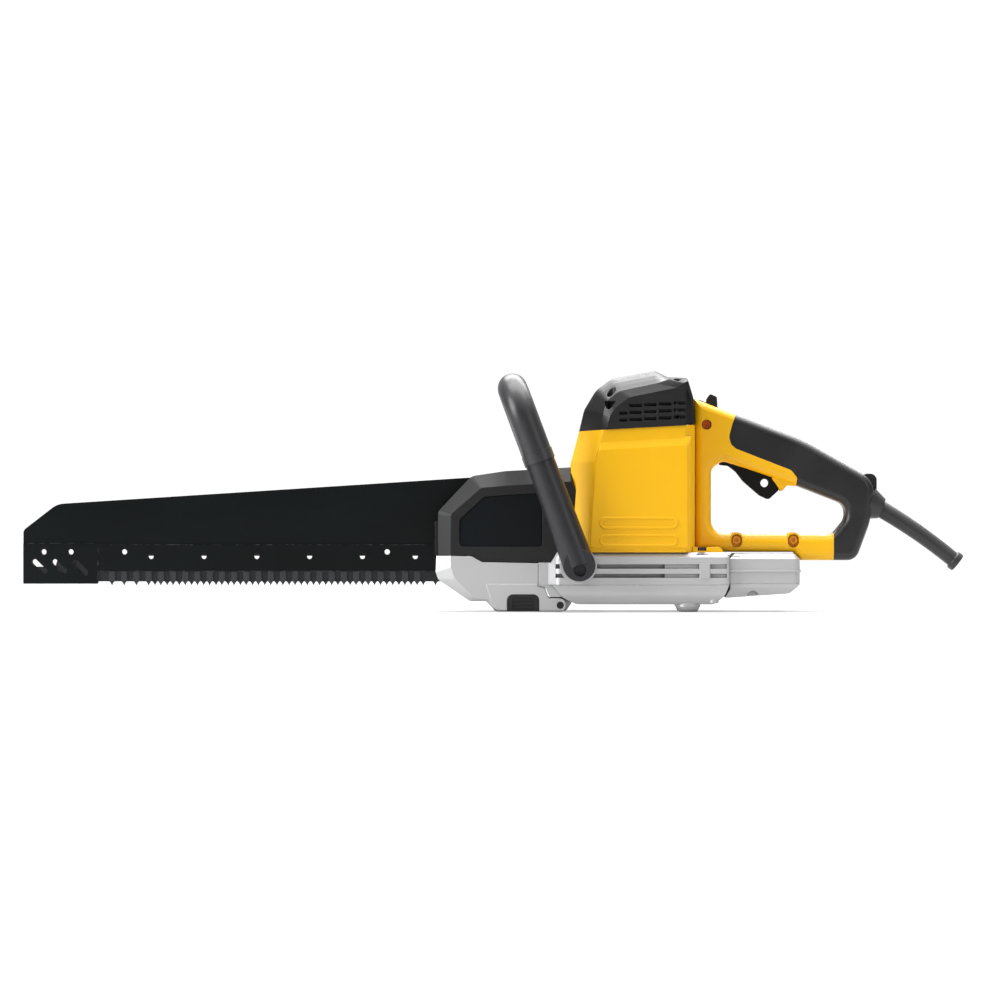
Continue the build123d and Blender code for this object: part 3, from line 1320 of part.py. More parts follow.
with BuildPart() as front_door:
    door_body()
    side_slab(inner_door_side, 0, -door_half + 4.2, 0, mode=Mode.SUBTRACT)
    side_slab(inner_door_front, 0, -door_rim + 1, 0, mode=Mode.SUBTRACT)
    block((-62, -36), (-5.6, 0), (10, 60), mode=Mode.SUBTRACT)
    with BuildSketch(side_plane(-latch_depth)) as pocket:
        with BuildLine():
            FilletPolyline(
                (latch_x[0] - latch_gap, -2), (latch_x[0] - latch_gap, latch_top + latch_gap),
                (latch_x[1] + latch_gap, latch_top + latch_gap), (latch_x[1] + latch_gap, -2),
                radius=[0, 6.6, 6.6, 0], close=True,
            )
        make_face()
    extrude(pocket.sketch, amount=20, mode=Mode.SUBTRACT)
    block((56.0, 90.0), (-24.0, 0), (-2, 20), mode=Mode.SUBTRACT)
    mirror(about=Plane.XZ)
    rod((door_hinge[0], -40, door_hinge[1]), (door_hinge[0], 40, door_hinge[1]), 3.8, mode=Mode.SUBTRACT)
save(front_door, "front_door")

with BuildPart() as latch_left:
    side_slab(
        [(latch_x[0], 0.4), (latch_x[0], latch_top), (latch_x[1], latch_top), (latch_x[1], 0.4)],
        [0, 6.2, 6.2, 0], -latch_face, -latch_depth - latch_travel - 0.4,
    )
    thumb_dish = [(19.5, 2.0), (19.5, 14.6), (41.8, 14.6), (41.8, 2.0)]
    side_slab(thumb_dish, 1.5, -latch_face - 1, -latch_face + 1.2, mode=Mode.SUBTRACT)
    for i in range(3):
        z = 4.4 + 3.9 * i
        side_slab([(20.6, z - 0.9), (20.6, z + 0.9), (40.7, z + 0.9), (40.7, z - 0.9)], 0.5,
                  -latch_face, -latch_face + 1.3)
save(latch_left, "latch_left")
save(mirrored(latch_left), "latch_right")

with BuildPart() as door_hinge_pin:
    rod((door_hinge[0], -29.0, door_hinge[1]), (door_hinge[0], 29.0, door_hinge[1]), 3.75)
save(door_hinge_pin, "door_hinge_pin")
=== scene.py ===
"""Finishes, fine detail, studio and camera for a twin-blade saw with a guide bar."""

import logging
import math
from dataclasses import dataclass, field
from enum import Enum
from typing import Any

import bmesh
import bpy
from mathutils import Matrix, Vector


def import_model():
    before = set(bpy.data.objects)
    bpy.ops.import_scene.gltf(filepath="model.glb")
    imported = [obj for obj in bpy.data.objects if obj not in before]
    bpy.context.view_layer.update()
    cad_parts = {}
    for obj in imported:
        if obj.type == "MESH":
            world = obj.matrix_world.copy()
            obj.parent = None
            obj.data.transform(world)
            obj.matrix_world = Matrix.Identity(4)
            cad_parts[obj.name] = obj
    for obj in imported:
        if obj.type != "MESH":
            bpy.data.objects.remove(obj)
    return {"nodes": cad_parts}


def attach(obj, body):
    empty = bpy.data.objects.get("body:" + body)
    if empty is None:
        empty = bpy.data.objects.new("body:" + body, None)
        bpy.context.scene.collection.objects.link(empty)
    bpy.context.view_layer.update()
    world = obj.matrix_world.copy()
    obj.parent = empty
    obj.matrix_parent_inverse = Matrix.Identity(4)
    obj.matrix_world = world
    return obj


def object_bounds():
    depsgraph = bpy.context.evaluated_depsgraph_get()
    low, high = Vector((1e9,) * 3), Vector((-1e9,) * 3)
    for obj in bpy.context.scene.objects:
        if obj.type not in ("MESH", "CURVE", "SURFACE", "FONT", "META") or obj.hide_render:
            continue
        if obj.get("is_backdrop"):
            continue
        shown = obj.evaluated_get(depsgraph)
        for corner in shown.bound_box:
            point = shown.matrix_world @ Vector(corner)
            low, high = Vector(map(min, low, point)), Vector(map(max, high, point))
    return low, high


LOG = logging.getLogger("saw")

Colour = tuple[float, float, float]
Point = tuple[float, float, float]
Corner = tuple[float, float]

FRAME_BODY = "frame_body"
COATING_IOR = 1.5
PLASTIC_IOR = 1.49
NOISE_ROUGHNESS = 0.55
BEVEL_SAMPLES = 4
SHADE_SAMPLES = 8
# a wave texture's scale times the width of one of its ridges, in metres
RIDGE_RATE = 0.155
EVEN: Point = (1.0, 1.0, 1.0)
WHITE = (1.0, 1.0, 1.0, 1.0)


class Side(Enum):
    """A side of the saw, and its sign across the saw."""

    LEFT = -1
    RIGHT = 1

    @property
    def label(self) -> str:
        """The side as the pieces' names spell it."""
        return self.name.lower()


class Axis(Enum):
    """The axis that close ridges are counted along."""

    X = "X"
    Z = "Z"


class Texture(Enum):
    """How the mould's face was finished: the grain's lumps per metre and its depth in metres."""

    SATIN = (2600.0, 0.000012)
    SPARK_ETCHED = (1500.0, 0.00003)
    STIPPLED = (900.0, 0.00006)


def from_screen(red: int, green: int, blue: int) -> Colour:
    """Turn a colour chosen on a screen into a linear one.

    Args:
        red: Red from 0 to 255.
        green: Green from 0 to 255.
        blue: Blue from 0 to 255.

    Returns:
        The linear colour.
    """

    def linear(step: int) -> float:
        """Undo the screen's gamma for one channel."""
        share = step / 255
        return share / 12.92 if share <= 0.04045 else ((share + 0.055) / 1.055) ** 2.4

    return linear(red), linear(green), linear(blue)


class Signal:
    """A value that runs through a finish, with arithmetic on it."""

    def __init__(self, bench: "Bench", socket: bpy.types.NodeSocket) -> None:
        """Keep the socket and the bench that it is on."""
        self.bench = bench
        self.socket = socket

    def _maths(self, operation: str, first: Any, second: Any) -> "Signal":
        """Add one step of arithmetic.

        Args:
            operation: The step, in Blender's name for it.
            first: The left side, a number or another signal.
            second: The right side, a number or another signal.

        Returns:
            The result.
        """
        return self.bench.add("ShaderNodeMath", {"operation": operation}, {0: first, 1: second})

    def __add__(self, other: "Signal | float") -> "Signal":
        """Add the two."""
        return self._maths("ADD", self, other)

    def __radd__(self, other: float) -> "Signal":
        """Add the two."""
        return self._maths("ADD", other, self)

    def __sub__(self, other: "Signal | float") -> "Signal":
        """Take the other away from this."""
        return self._maths("SUBTRACT", self, other)

    def __rsub__(self, other: float) -> "Signal":
        """Take this away from the other."""
        return self._maths("SUBTRACT", other, self)

    def __mul__(self, other: "Signal | float") -> "Signal":
        """Multiply the two."""
        return self._maths("MULTIPLY", self, other)

    def __rmul__(self, other: float) -> "Signal":
        """Multiply the two."""
        return self._maths("MULTIPLY", other, self)

    def swing(self, width: float) -> "Signal":
        """Turn a value of 0 to 1 into one of the given width about zero."""
        return (self - 0.5) * width

    def limited(self) -> "Signal":
        """Keep the value between 0 and 1."""
        return self.bench.add("ShaderNodeClamp", {}, {"Value": self})


class Bench:
    """The node tree of one finish, with the few patterns that the saw's finishes share."""

    def __init__(self, name: str, world: bpy.types.World | None = None) -> None:
        """Start with no nodes, on a new material or on a world.

        Args:
            name: The material's name.
            world: The world to work on, if it isn't a material.
        """
        self.material = world or bpy.data.materials.new(name)
        self.material.use_nodes = True
        self.tree = self.material.node_tree
        self.tree.nodes.clear()

    def add(
        self,
        kind: str,
        settings: dict[str, Any],
        inputs: dict[str | int, Any],
        output: str | int = 0,
    ) -> Signal:
        """Add a node, set it, and join it up.

        Args:
            kind: Blender's type name for the node.
            settings: The node's own settings, such as an operation.
            inputs: A value or a signal for each input, by name or number.
            output: The output to return.

        Returns:
            The chosen output.
        """
        node = self.tree.nodes.new(kind)
        for name, value in settings.items():
            setattr(node, name, value)
        for name, value in inputs.items():
            socket = node.inputs[name]
            if isinstance(value, Signal):
                self.tree.links.new(value.socket, socket)
            else:
                socket.default_value = value
        return Signal(self, node.outputs[output]) if len(node.outputs) else Signal(self, None)

    def place(self, stretch: Point = EVEN) -> Signal:
        """Where a point is on the saw, in metres, stretched along each axis."""
        coords = self.add("ShaderNodeTexCoord", {}, {}, "Object")
        return self.add("ShaderNodeMapping", {}, {"Vector": coords, "Scale": stretch})

    def noise(self, scale: float, detail: float = 3.0, stretch: Point = EVEN) -> Signal:
        """Soft random variation.

        Args:
            scale: Lumps per metre.
            detail: How many finer layers it has.
            stretch: How the pattern is squeezed along each axis.

        Returns:
            A value that wanders about one half.
        """
        return self.add(
            "ShaderNodeTexNoise",
            {},
            {
                "Vector": self.place(stretch),
                "Scale": scale,
                "Detail": detail,
                "Roughness": NOISE_ROUGHNESS,
            },
            "Fac",
        )

    def ridges(self, width: float, along: Axis, wobble: float, detail: float) -> Signal:
        """Close parallel ridges, such as the edges of sheets or laid wire.

        Args:
            width: The width of one ridge, in metres.
            along: The axis that the ridges are counted along.
            wobble: How far they wander.
            detail: How many finer layers the wandering has.

        Returns:
            A value that goes from 0 to 1 and back over the ridges.
        """
        return self.add(
            "ShaderNodeTexWave",
            {"bands_direction": along.value, "wave_profile": "SIN"},
            {
                "Vector": self.place(),
                "Scale": RIDGE_RATE / width,
                "Distortion": wobble,
                "Detail": detail,
            },
            "Fac",
        )

    def spread(self, value: Signal, low: float, high: float) -> Signal:
        """Stretch the part of a value from low to high over 0 to 1.

        Args:
            value: The value.
            low: What becomes 0.
            high: What becomes 1.

        Returns:
            The stretched value.
        """
        return self.add(
            "ShaderNodeMapRange",
            {"clamp": True, "interpolation_type": "SMOOTHSTEP"},
            {"Value": value, "From Min": low, "From Max": high},
        )

    def worn_and_highlit_edges(self, radius: float) -> Signal:
        """Find the outer edges that hands, dust and benches rub, and that most finishes also
        lighten with a painted highlight.

        Args:
            radius: How far from an edge the wear and the painted highlight reach, in metres.

        Returns:
            1 on an edge and 0 on open faces.
        """
        rounded = self.add("ShaderNodeBevel", {"samples": BEVEL_SAMPLES}, {"Radius": radius})
        true = self.add("ShaderNodeNewGeometry", {}, {}, "Normal")
        agree = self.add(
            "ShaderNodeVectorMath", {"operation": "DOT_PRODUCT"}, {0: rounded, 1: true}, "Value"
        )
        return self.spread(1 - agree, low=0.02, high=0.2)

    def painted_crevice_shade(self, reach: float) -> Signal:
        """Find grooves, seams and inner corners, where the finishes paint shade.

        Args:
            reach: How wide a groove still counts, in metres.

        Returns:
            1 deep in a groove and 0 on open faces.
        """
        settings = {"samples": SHADE_SAMPLES}
        # ambient occlusion marks where painted shade goes into grooves and seams
        open_share = self.add("ShaderNodeAmbientOcclusion", settings, {"Distance": reach}, "AO")
        return self.spread(1 - open_share, low=0.3, high=0.85)

    def height(self) -> Signal:
        """Height above the ground, in metres."""
        return self.add("ShaderNodeSeparateXYZ", {}, {0: self.place()}, "Z")

    def blend(self, share: Signal | float, first: Any, second: Any) -> Signal:
        """Mix two colours.

        Args:
            share: How much of the second there is.
            first: The first colour.
            second: The second colour.

        Returns:
            The mixed colour.
        """
        four = [(*c, 1.0) if isinstance(c, tuple) else c for c in (first, second)]
        node = {"data_type": "RGBA", "blend_type": "MIX"}
        # a Mix node keeps its colour inputs at 6 and 7 and its colour output at 2
        return self.add("ShaderNodeMix", node, {0: share, 6: four[0], 7: four[1]}, 2)

    def relief(self, height: Signal, depth: float, soften: float = 0.0) -> Signal:
        """Raise and lower the surface.

        Args:
            height: The pattern, from 0 to 1.
            depth: How deep it is, in metres.
            soften: The radius that sharp edges are eased to, in metres.

        Returns:
            The direction that the surface faces.
        """
        inputs: dict[str | int, Any] = {"Height": height, "Distance": depth, "Strength": 1.0}
        if soften:
            settings = {"samples": BEVEL_SAMPLES}
            inputs["Normal"] = self.add("ShaderNodeBevel", settings, {"Radius": soften})
        return self.add("ShaderNodeBump", {}, inputs)

    def surface(self, fixed: dict[str, Any], varied: dict[str, Signal]) -> bpy.types.Material:
        """Finish the material.

        Args:
            fixed: The shader's values that are the same all over.
            varied: The shader's values that change over the surface.

        Returns:
            The material.
        """
        shader = self.add("ShaderNodeBsdfPrincipled", {}, {**fixed, **varied})
        self.add("ShaderNodeOutputMaterial", {}, {"Surface": shader})
        return self.material


@dataclass(frozen=True)
class Finish:
    """What every finish has."""

    name: str
    colour: Colour

    def mix(self, bench: Bench) -> bpy.types.Material:
        """Build the finish on a bench; each kind of finish has its own way."""
        raise NotImplementedError

    def material(self) -> bpy.types.Material:
        """Return the finish's material, made the first time that it is asked for."""
        label = f"finish_{self.name}"
        return bpy.data.materials.get(label) or self.mix(Bench(label))

    def shade(self, factor: float) -> Colour:
        """Return the colour, lighter or darker."""
        red, green, blue = (min(1.0, channel * factor) for channel in self.colour)
        return red, green, blue


@dataclass(frozen=True)
class MouldedPlastic(Finish):
    """Plastic from a mould: a fine etched grain, flow marks, shinier edges lightened partly by wear
    and partly by a painted highlight, and painted shade in its seams.
    """

    roughness: float = 0.42
    texture: Texture = Texture.SATIN
    edge_gain: float = 1.25
    soften: float = 0.0005
    gloss: float = 0.42
    seam_shade: float = 0.55

    def mix(self, bench: Bench) -> bpy.types.Material:
        """Build the plastic.

        Args:
            bench: Where it is built.

        Returns:
            The material.
        """
        scale, depth = self.texture.value
        grain = bench.noise(scale, detail=2.0)
        flow = bench.noise(9.0, detail=4.0, stretch=(1.0, 1.0, 0.35))
        dust = bench.noise(70.0, detail=5.0)
        edges = bench.worn_and_highlit_edges(radius=0.0008)
        flowed = bench.spread(flow, low=0.3, high=0.7)
        body = bench.blend(flowed, self.shade(0.955), self.shade(1.03))
        specks = bench.spread(grain, low=0.35, high=0.65) * 0.25
        speckled = bench.blend(specks, body, self.shade(0.86))
        # edges lightened: partly wear, partly a painted highlight
        worn_and_highlit = bench.blend(edges * 0.55, speckled, self.shade(self.edge_gain))
        # painted shade: grooves and seams are darkened towards seam_shade
        seams = bench.painted_crevice_shade(reach=0.004) * 0.7
        colour = bench.blend(seams, worn_and_highlit, self.shade(self.seam_shade))
        roughness = self.roughness + dust.swing(0.16) - edges * 0.1
        return bench.surface(
            {"IOR": PLASTIC_IOR, "Specular IOR Level": self.gloss},
            {
                "Base Color": colour,
                "Roughness": roughness.limited(),
                "Normal": bench.relief(grain, depth, self.soften),
            },
        )


@dataclass(frozen=True)
class SoftRubber(Finish):
    """Soft moulded rubber: a deep stipple, a dusty bloom, and edges lightened partly by the polish
    of palms and partly by a painted highlight.
    """

    roughness: float = 0.5
    bloom: float = 0.35

    def mix(self, bench: Bench) -> bpy.types.Material:
        """Build the rubber.

        Args:
            bench: Where it is built.

        Returns:
            The material.
        """
        scale, depth = Texture.STIPPLED.value
        pits = bench.add(
            "ShaderNodeTexVoronoi",
            {"feature": "SMOOTH_F1"},
            {"Vector": bench.place(), "Scale": scale, "Smoothness": 0.6},
            "Distance",
        )
        cloud = bench.noise(26.0, detail=5.0)
        edges = bench.worn_and_highlit_edges(radius=0.0012)
        powder = bench.spread(cloud, low=0.42, high=0.75) * self.bloom
        dusty = bench.blend(powder, self.colour, self.shade(1.9))
        # edges lightened: partly palm polish, partly a painted highlight
        colour = bench.blend(edges * 0.4, dusty, self.shade(1.6))
        roughness = self.roughness + cloud.swing(0.2)
        return bench.surface(
            {
                "IOR": COATING_IOR,
                "Specular IOR Level": 0.45,
                "Sheen Weight": 0.12,
                "Sheen Roughness": 0.45,
            },
            {
                "Base Color": colour,
                "Roughness": roughness.limited(),
                "Normal": bench.relief(pits, depth, soften=0.0005),
            },
        )


@dataclass(frozen=True)
class SilverCasting(Finish):
    """A die casting under silver powder coat: flakes, a fine orange-peel skin, corners lightened
    partly by wear and partly by a painted highlight, and painted shade in its grooves.
    """

    roughness: float = 0.4
    metal: float = 0.35

    def mix(self, bench: Bench) -> bpy.types.Material:
        """Build the coated casting.

        Args:
            bench: Where it is built.

        Returns:
            The material.
        """
        flakes = bench.add(
            "ShaderNodeTexVoronoi",
            {"feature": "F1"},
            {"Vector": bench.place(), "Scale": 2400.0},
            "Distance",
        )
        peel = bench.noise(420.0, detail=3.0)
        cloud = bench.noise(11.0, detail=4.0)
        edges = bench.worn_and_highlit_edges(radius=0.0012)
        clouded = bench.spread(cloud, low=0.3, high=0.7)
        coat = bench.blend(clouded, self.shade(0.95), self.shade(1.04))
        glints = bench.spread(flakes, low=0.2, high=0.75) * 0.3
        sparkle = bench.blend(glints, self.shade(1.12), coat)
        # corners lightened: partly wear, partly a painted highlight
        worn_and_highlit = bench.blend(edges * 0.6, sparkle, self.shade(1.32))
        # painted shade: grooves and seams are darkened almost to black
        colour = bench.blend(bench.painted_crevice_shade(reach=0.007) * 0.94, worn_and_highlit, self.shade(0.05))
        return bench.surface(
            {"IOR": COATING_IOR, "Specular IOR Level": 0.5, "Coat Roughness": 0.22},
            {
                "Base Color": colour,
                "Metallic": (self.metal + peel.swing(0.2)).limited(),
                "Roughness": (self.roughness + cloud.swing(0.14)).limited(),
                "Coat Weight": (0.12 + edges * 0.2).limited(),
                "Normal": bench.relief(peel, depth=0.00004, soften=0.0007),
            },
        )


@dataclass(frozen=True)
class StoveEnamel(Finish):
    """Black enamel baked on sheet steel, with rolling lines and bare steel at the edges."""

    bare: Colour = (0.32, 0.32, 0.33)
    roughness: float = 0.4

    def mix(self, bench: Bench) -> bpy.types.Material:
        """Build the enamelled steel.

        Args:
            bench: Where it is built.

        Returns:
            The material.
        """
        rolling = bench.noise(260.0, detail=3.0, stretch=(0.04, 1.0, 1.0))
        peel = bench.noise(520.0, detail=2.0)
        smears = bench.noise(14.0, detail=5.0, stretch=(0.4, 1.0, 1.0))
        chips = bench.noise(180.0, detail=4.0)
        worn = bench.worn_and_highlit_edges(radius=0.0006) * bench.spread(chips, low=0.46, high=0.62)
        smeared = bench.spread(smears, low=0.35, high=0.75)
        enamel = bench.blend(smeared, self.colour, self.shade(1.35))
        return bench.surface(
            {"IOR": COATING_IOR, "Specular IOR Level": 0.16},
            {
                "Base Color": bench.blend(worn * 0.8, enamel, self.bare),
                "Metallic": worn * 0.9,
                "Roughness": (self.roughness + smears.swing(0.2) + rolling.swing(0.1)).limited(),
                "Normal": bench.relief(peel * 0.6 + rolling * 0.4, depth=0.00003),
            },
        )


@dataclass(frozen=True)
class CutSteel(Finish):
    """Bare or blackened steel with the marks of the wheel or cutter running along it."""

    roughness: float = 0.34
    along: Point = (0.05, 1.0, 1.0)
    marks: float = 900.0
    metal: float = 1.0

    def mix(self, bench: Bench) -> bpy.types.Material:
        """Build the steel.

        Args:
            bench: Where it is built.

        Returns:
            The material.
        """
        cuts = bench.noise(self.marks, detail=3.0, stretch=self.along)
        oil = bench.noise(40.0, detail=4.0)
        edges = bench.worn_and_highlit_edges(radius=0.0004)
        scratched = bench.spread(cuts, low=0.3, high=0.7)
        toned = bench.blend(scratched, self.shade(0.82), self.shade(1.08))
        stains = bench.spread(oil, low=0.5, high=0.8) * 0.4
        stained = bench.blend(stains, toned, self.shade(0.6))
        tarnish = bench.spread(oil, low=0.55, high=0.85) * 0.2
        return bench.surface(
            {"IOR": COATING_IOR},
            {
                # edges lightened: partly worn bright, partly a painted highlight
                "Base Color": bench.blend(edges * 0.6, stained, self.shade(1.45)),
                "Metallic": (self.metal - tarnish).limited(),
                "Roughness": (self.roughness + oil.swing(0.22) + cuts.swing(0.12)).limited(),
                "Normal": bench.relief(cuts, depth=0.00002),
            },
        )


@dataclass(frozen=True)
class SunkScrew(Finish):
    """Zinc-plated screws: the low ones sit deep in yellow plastic, and the shaded glow of that
    plastic is painted on them.
    """

    # painted light: the shaded yellow glow of the recess, painted on the low screws
    glow: Colour = (0.8, 0.33, 0.012)
    dull_glow: Colour = (0.5, 0.17, 0.008)
    low: float = 0.11
    high: float = 0.13

    def mix(self, bench: Bench) -> bpy.types.Material:
        """Build the plated screw.

        Args:
            bench: Where it is built.

        Returns:
            The material.
        """
        turned = bench.noise(1300.0, detail=3.0)
        grime = bench.noise(300.0, detail=4.0)
        upper = bench.spread(bench.height(), self.low, self.high)
        dirt = bench.spread(grime, low=0.45, high=0.75)
        plated = bench.blend(dirt * 0.5, self.colour, self.shade(0.5))
        # painted light: shaded yellow of the recess, varied by the dirt noise
        painted_recess_glow = bench.blend(dirt * 0.3, self.glow, self.dull_glow)
        return bench.surface(
            {"IOR": COATING_IOR, "Specular IOR Level": 0.4},
            {
                # below the height band the screws take the painted recess glow, above it the
                # plating
                "Base Color": bench.blend(upper, painted_recess_glow, plated),
                "Metallic": (upper * 0.4).limited(),
                "Roughness": (0.42 + grime.swing(0.3)).limited(),
                "Normal": bench.relief(turned, depth=0.00003),
            },
        )


@dataclass(frozen=True)
class StackedSheets(Finish):
    """Punched sheets pressed into a stack and lacquered: the sheet edges show as fine lines."""

    sheet: float = 0.0005
    rusty: Colour = (0.09, 0.045, 0.03)

    def mix(self, bench: Bench) -> bpy.types.Material:
        """Build the stack.

        Args:
            bench: Where it is built.

        Returns:
            The material.
        """
        lines = bench.ridges(self.sheet, Axis.Z, wobble=0.4, detail=2.0)
        rust = bench.noise(120.0, detail=4.0)
        toned = bench.blend(lines * 0.5, self.shade(0.7), self.shade(1.25))
        spots = bench.spread(rust, low=0.55, high=0.8) * 0.4
        return bench.surface(
            {"IOR": COATING_IOR},
            {
                "Base Color": bench.blend(spots, toned, self.rusty),
                "Metallic": (0.8 - rust * 0.4).limited(),
                "Roughness": (0.42 + rust.swing(0.3)).limited(),
                "Normal": bench.relief(lines, depth=0.00008),
            },
        )


@dataclass(frozen=True)
class WoundWire(Finish):
    """Varnished copper wire laid side by side, seen as close ridges."""

    wire: float = 0.0007
    along: Axis = Axis.Z
    scorched: Colour = (0.2, 0.05, 0.02)

    def mix(self, bench: Bench) -> bpy.types.Material:
        """Build the winding.

        Args:
            bench: Where it is built.

        Returns:
            The material.
        """
        strands = bench.ridges(self.wire, self.along, wobble=1.2, detail=1.0)
        varnish = bench.noise(60.0, detail=4.0)
        toned = bench.blend(strands, self.shade(0.55), self.shade(1.1))
        scorches = bench.spread(varnish, low=0.5, high=0.8) * 0.4
        return bench.surface(
            {"IOR": COATING_IOR, "Coat Roughness": 0.2},
            {
                "Base Color": bench.blend(scorches, toned, self.scorched),
                "Metallic": (0.85 - varnish * 0.3).limited(),
                "Roughness": (0.36 + varnish.swing(0.2)).limited(),
                "Coat Weight": (varnish * 0.6).limited(),
                "Normal": bench.relief(strands, depth=0.0002),
            },
        )


YELLOW_SHELL = MouldedPlastic(
    "yellow_shell", from_screen(234, 176, 0), roughness=0.4, edge_gain=1.1, seam_shade=0.62
)
BLACK_NYLON = MouldedPlastic(
    "black_nylon",
    from_screen(26, 26, 27),
    roughness=0.4,
    texture=Texture.SPARK_ETCHED,
    edge_gain=2.2,
    soften=0.0006,
)
GUARD_NYLON = MouldedPlastic(
    "guard_nylon",
    from_screen(32, 32, 32),
    texture=Texture.SPARK_ETCHED,
    edge_gain=2.4,
    soften=0.0008,
    gloss=0.26,
)
PANEL_NYLON = MouldedPlastic(
    "panel_nylon", from_screen(13, 17, 20), roughness=0.5, edge_gain=1.6, gloss=0.12
)
TRIGGER_NYLON = MouldedPlastic(
    "trigger_nylon", from_screen(12, 12, 11), roughness=0.45, edge_gain=2.0, gloss=0.2
)
BAIL_NYLON = MouldedPlastic(
    "bail_nylon",
    from_screen(36, 36, 39),
    roughness=0.36,
    texture=Texture.SPARK_ETCHED,
    edge_gain=1.8,
)
PALM_RUBBER = SoftRubber("palm_rubber", from_screen(25, 25, 25), roughness=0.36, bloom=0.25)
CORD_RUBBER = SoftRubber("cord_rubber", from_screen(36, 36, 37), roughness=0.44, bloom=0.3)
BAIL_RUBBER = SoftRubber("bail_rubber", from_screen(38, 38, 40), roughness=0.36, bloom=0.25)
SILVER = SilverCasting("silver_casting", from_screen(177, 177, 178))
BAR_ENAMEL = StoveEnamel("bar_enamel", from_screen(6, 10, 10))
BLADE_OXIDE = CutSteel("blade_oxide", from_screen(30, 32, 33), roughness=0.42, metal=0.35)
CARBIDE = CutSteel(
    "carbide",
    from_screen(66, 68, 70),
    roughness=0.3,
    along=(1.0, 1.0, 0.06),
    marks=1400.0,
    metal=0.7,
)
MACHINED = CutSteel("machined_steel", (0.46, 0.46, 0.47), roughness=0.26)
BRONZE = CutSteel(
    "sintered_bronze", (0.5, 0.3, 0.12), roughness=0.42, along=EVEN, marks=1600.0
)
OXIDE_SCREW = CutSteel(
    "oxide_screw", (0.05, 0.05, 0.052), roughness=0.36, along=EVEN, marks=1500.0, metal=0.8
)
BRUSH_BRASS = CutSteel(
    "brush_brass", (0.66, 0.46, 0.18), roughness=0.3, along=(1.0, 1.0, 0.1), marks=1200.0
)
CARBON = CutSteel(
    "pressed_carbon", (0.03, 0.03, 0.03), roughness=0.6, along=EVEN, marks=2200.0, metal=0.2
)
ZINC_SCREW = SunkScrew("zinc_screw", from_screen(205, 98, 42))
CORE_STACK = StackedSheets("core_stack", (0.2, 0.2, 0.21))
ROTOR_WIRE = WoundWire("rotor_wire", (0.6, 0.24, 0.1), along=Axis.X)
FIELD_WIRE = WoundWire("field_wire", (0.58, 0.24, 0.1), wire=0.0009)


@dataclass
class Inlay:
    """A thin moulded panel with rounded corners that lies in a recess on an upright face."""

    name: str
    corners: tuple[Corner, ...]
    radii: tuple[float, ...]
    back: float
    face: float
    edge: float = 0.0004
    steps: int = 6

    def outline(self, inset: float) -> list[Corner]:
        """Round the corners and draw the outline in.

        Args:
            inset: How far it is drawn in, in metres.

        Returns:
            The points round the panel, as (x, z).
        """
        points = []
        count = len(self.corners)
        centre = sum((Vector(corner) for corner in self.corners), Vector((0.0, 0.0))) / count
        for i, radius in enumerate(self.radii):
            corner = Vector(self.corners[i])
            before = (Vector(self.corners[i - 1]) - corner).normalized()
            after = (Vector(self.corners[(i + 1) % count]) - corner).normalized()
            run = radius / math.tan(before.angle(after) / 2)
            start = corner + before * run
            end = corner + after * run
            for k in range(self.steps + 1):
                t = k / self.steps
                point = start * (1 - t) ** 2 + corner * 2 * t * (1 - t) + end * t**2
                toward = (centre - point).normalized()
                points.append(tuple(point + toward * inset))
        return points

    def build(self) -> bpy.types.Object:
        """Make the panel as three rings: its back, its rim and its face.

        Returns:
            The panel.
        """
        out = math.copysign(self.edge, self.face)
        levels = ((self.back, 0.0), (self.face - out, 0.0), (self.face, self.edge))
        shape = bmesh.new()
        rings = [
            [shape.verts.new((x, y, z)) for x, z in self.outline(inset)] for y, inset in levels
        ]
        for lower, upper in zip(rings, rings[1:]):
            for i, vertex in enumerate(lower):
                shape.faces.new((lower[i - 1], vertex, upper[i], upper[i - 1]))
        shape.faces.new(rings[0])
        shape.faces.new(rings[-1])
        bmesh.ops.recalc_face_normals(shape, faces=shape.faces)
        mesh = bpy.data.meshes.new(self.name)
        shape.to_mesh(mesh)
        shape.free()
        piece = bpy.data.objects.new(self.name, mesh)
        bpy.context.scene.collection.objects.link(piece)
        return piece


@dataclass
class SubAssembly:
    """A group of the saw's pieces that are dressed together."""

    def coats(self) -> dict[str, Finish]:
        """Return the finish of each of the group's CAD nodes."""
        return {}

    def build(self) -> list[bpy.types.Object]:
        """Make what the group has beyond its CAD nodes, and return it."""
        return []

    def dress(self, nodes: dict[str, bpy.types.Object]) -> None:
        """Put the finishes on the CAD nodes.

        Args:
            nodes: The frame's CAD nodes by name.
        """
        for name, finish in self.coats().items():
            slots = nodes[name].data.materials
            slots.clear()
            slots.append(finish.material())
            LOG.info("%s wears %s", name, finish.name)

    def make(self, nodes: dict[str, bpy.types.Object]) -> None:
        """Build and dress the group.

        Args:
            nodes: The frame's CAD nodes by name.
        """
        self.dress(nodes)
        for piece in self.build():
            LOG.info("%s: %s is built", type(self).__name__, piece.name)


@dataclass
class GuideBar(SubAssembly):
    """The fixed bar over the blades, its spot-welded rails and its bolts."""

    def coats(self) -> dict[str, Finish]:
        """Return the finish of each CAD node."""
        plates = [f"{kind}_plate_{side.label}" for kind in ("rail", "nose") for side in Side]
        enamelled = dict.fromkeys(["guide_bar_core", *plates], BAR_ENAMEL)
        return {**enamelled, "bar_clamp_bolts": OXIDE_SCREW}


@dataclass
class Blades(SubAssembly):
    """The two blades, their carbide teeth, bolts and the yokes that drive them."""

    def coats(self) -> dict[str, Finish]:
        """Return the finish of each CAD node."""
        found: dict[str, Finish] = {}
        for side in Side:
            found[f"blade_{side.label}"] = BLADE_OXIDE
            found[f"teeth_{side.label}"] = CARBIDE
            found[f"blade_bolts_{side.label}"] = OXIDE_SCREW
            found[f"yoke_{side.label}"] = MACHINED
        return found


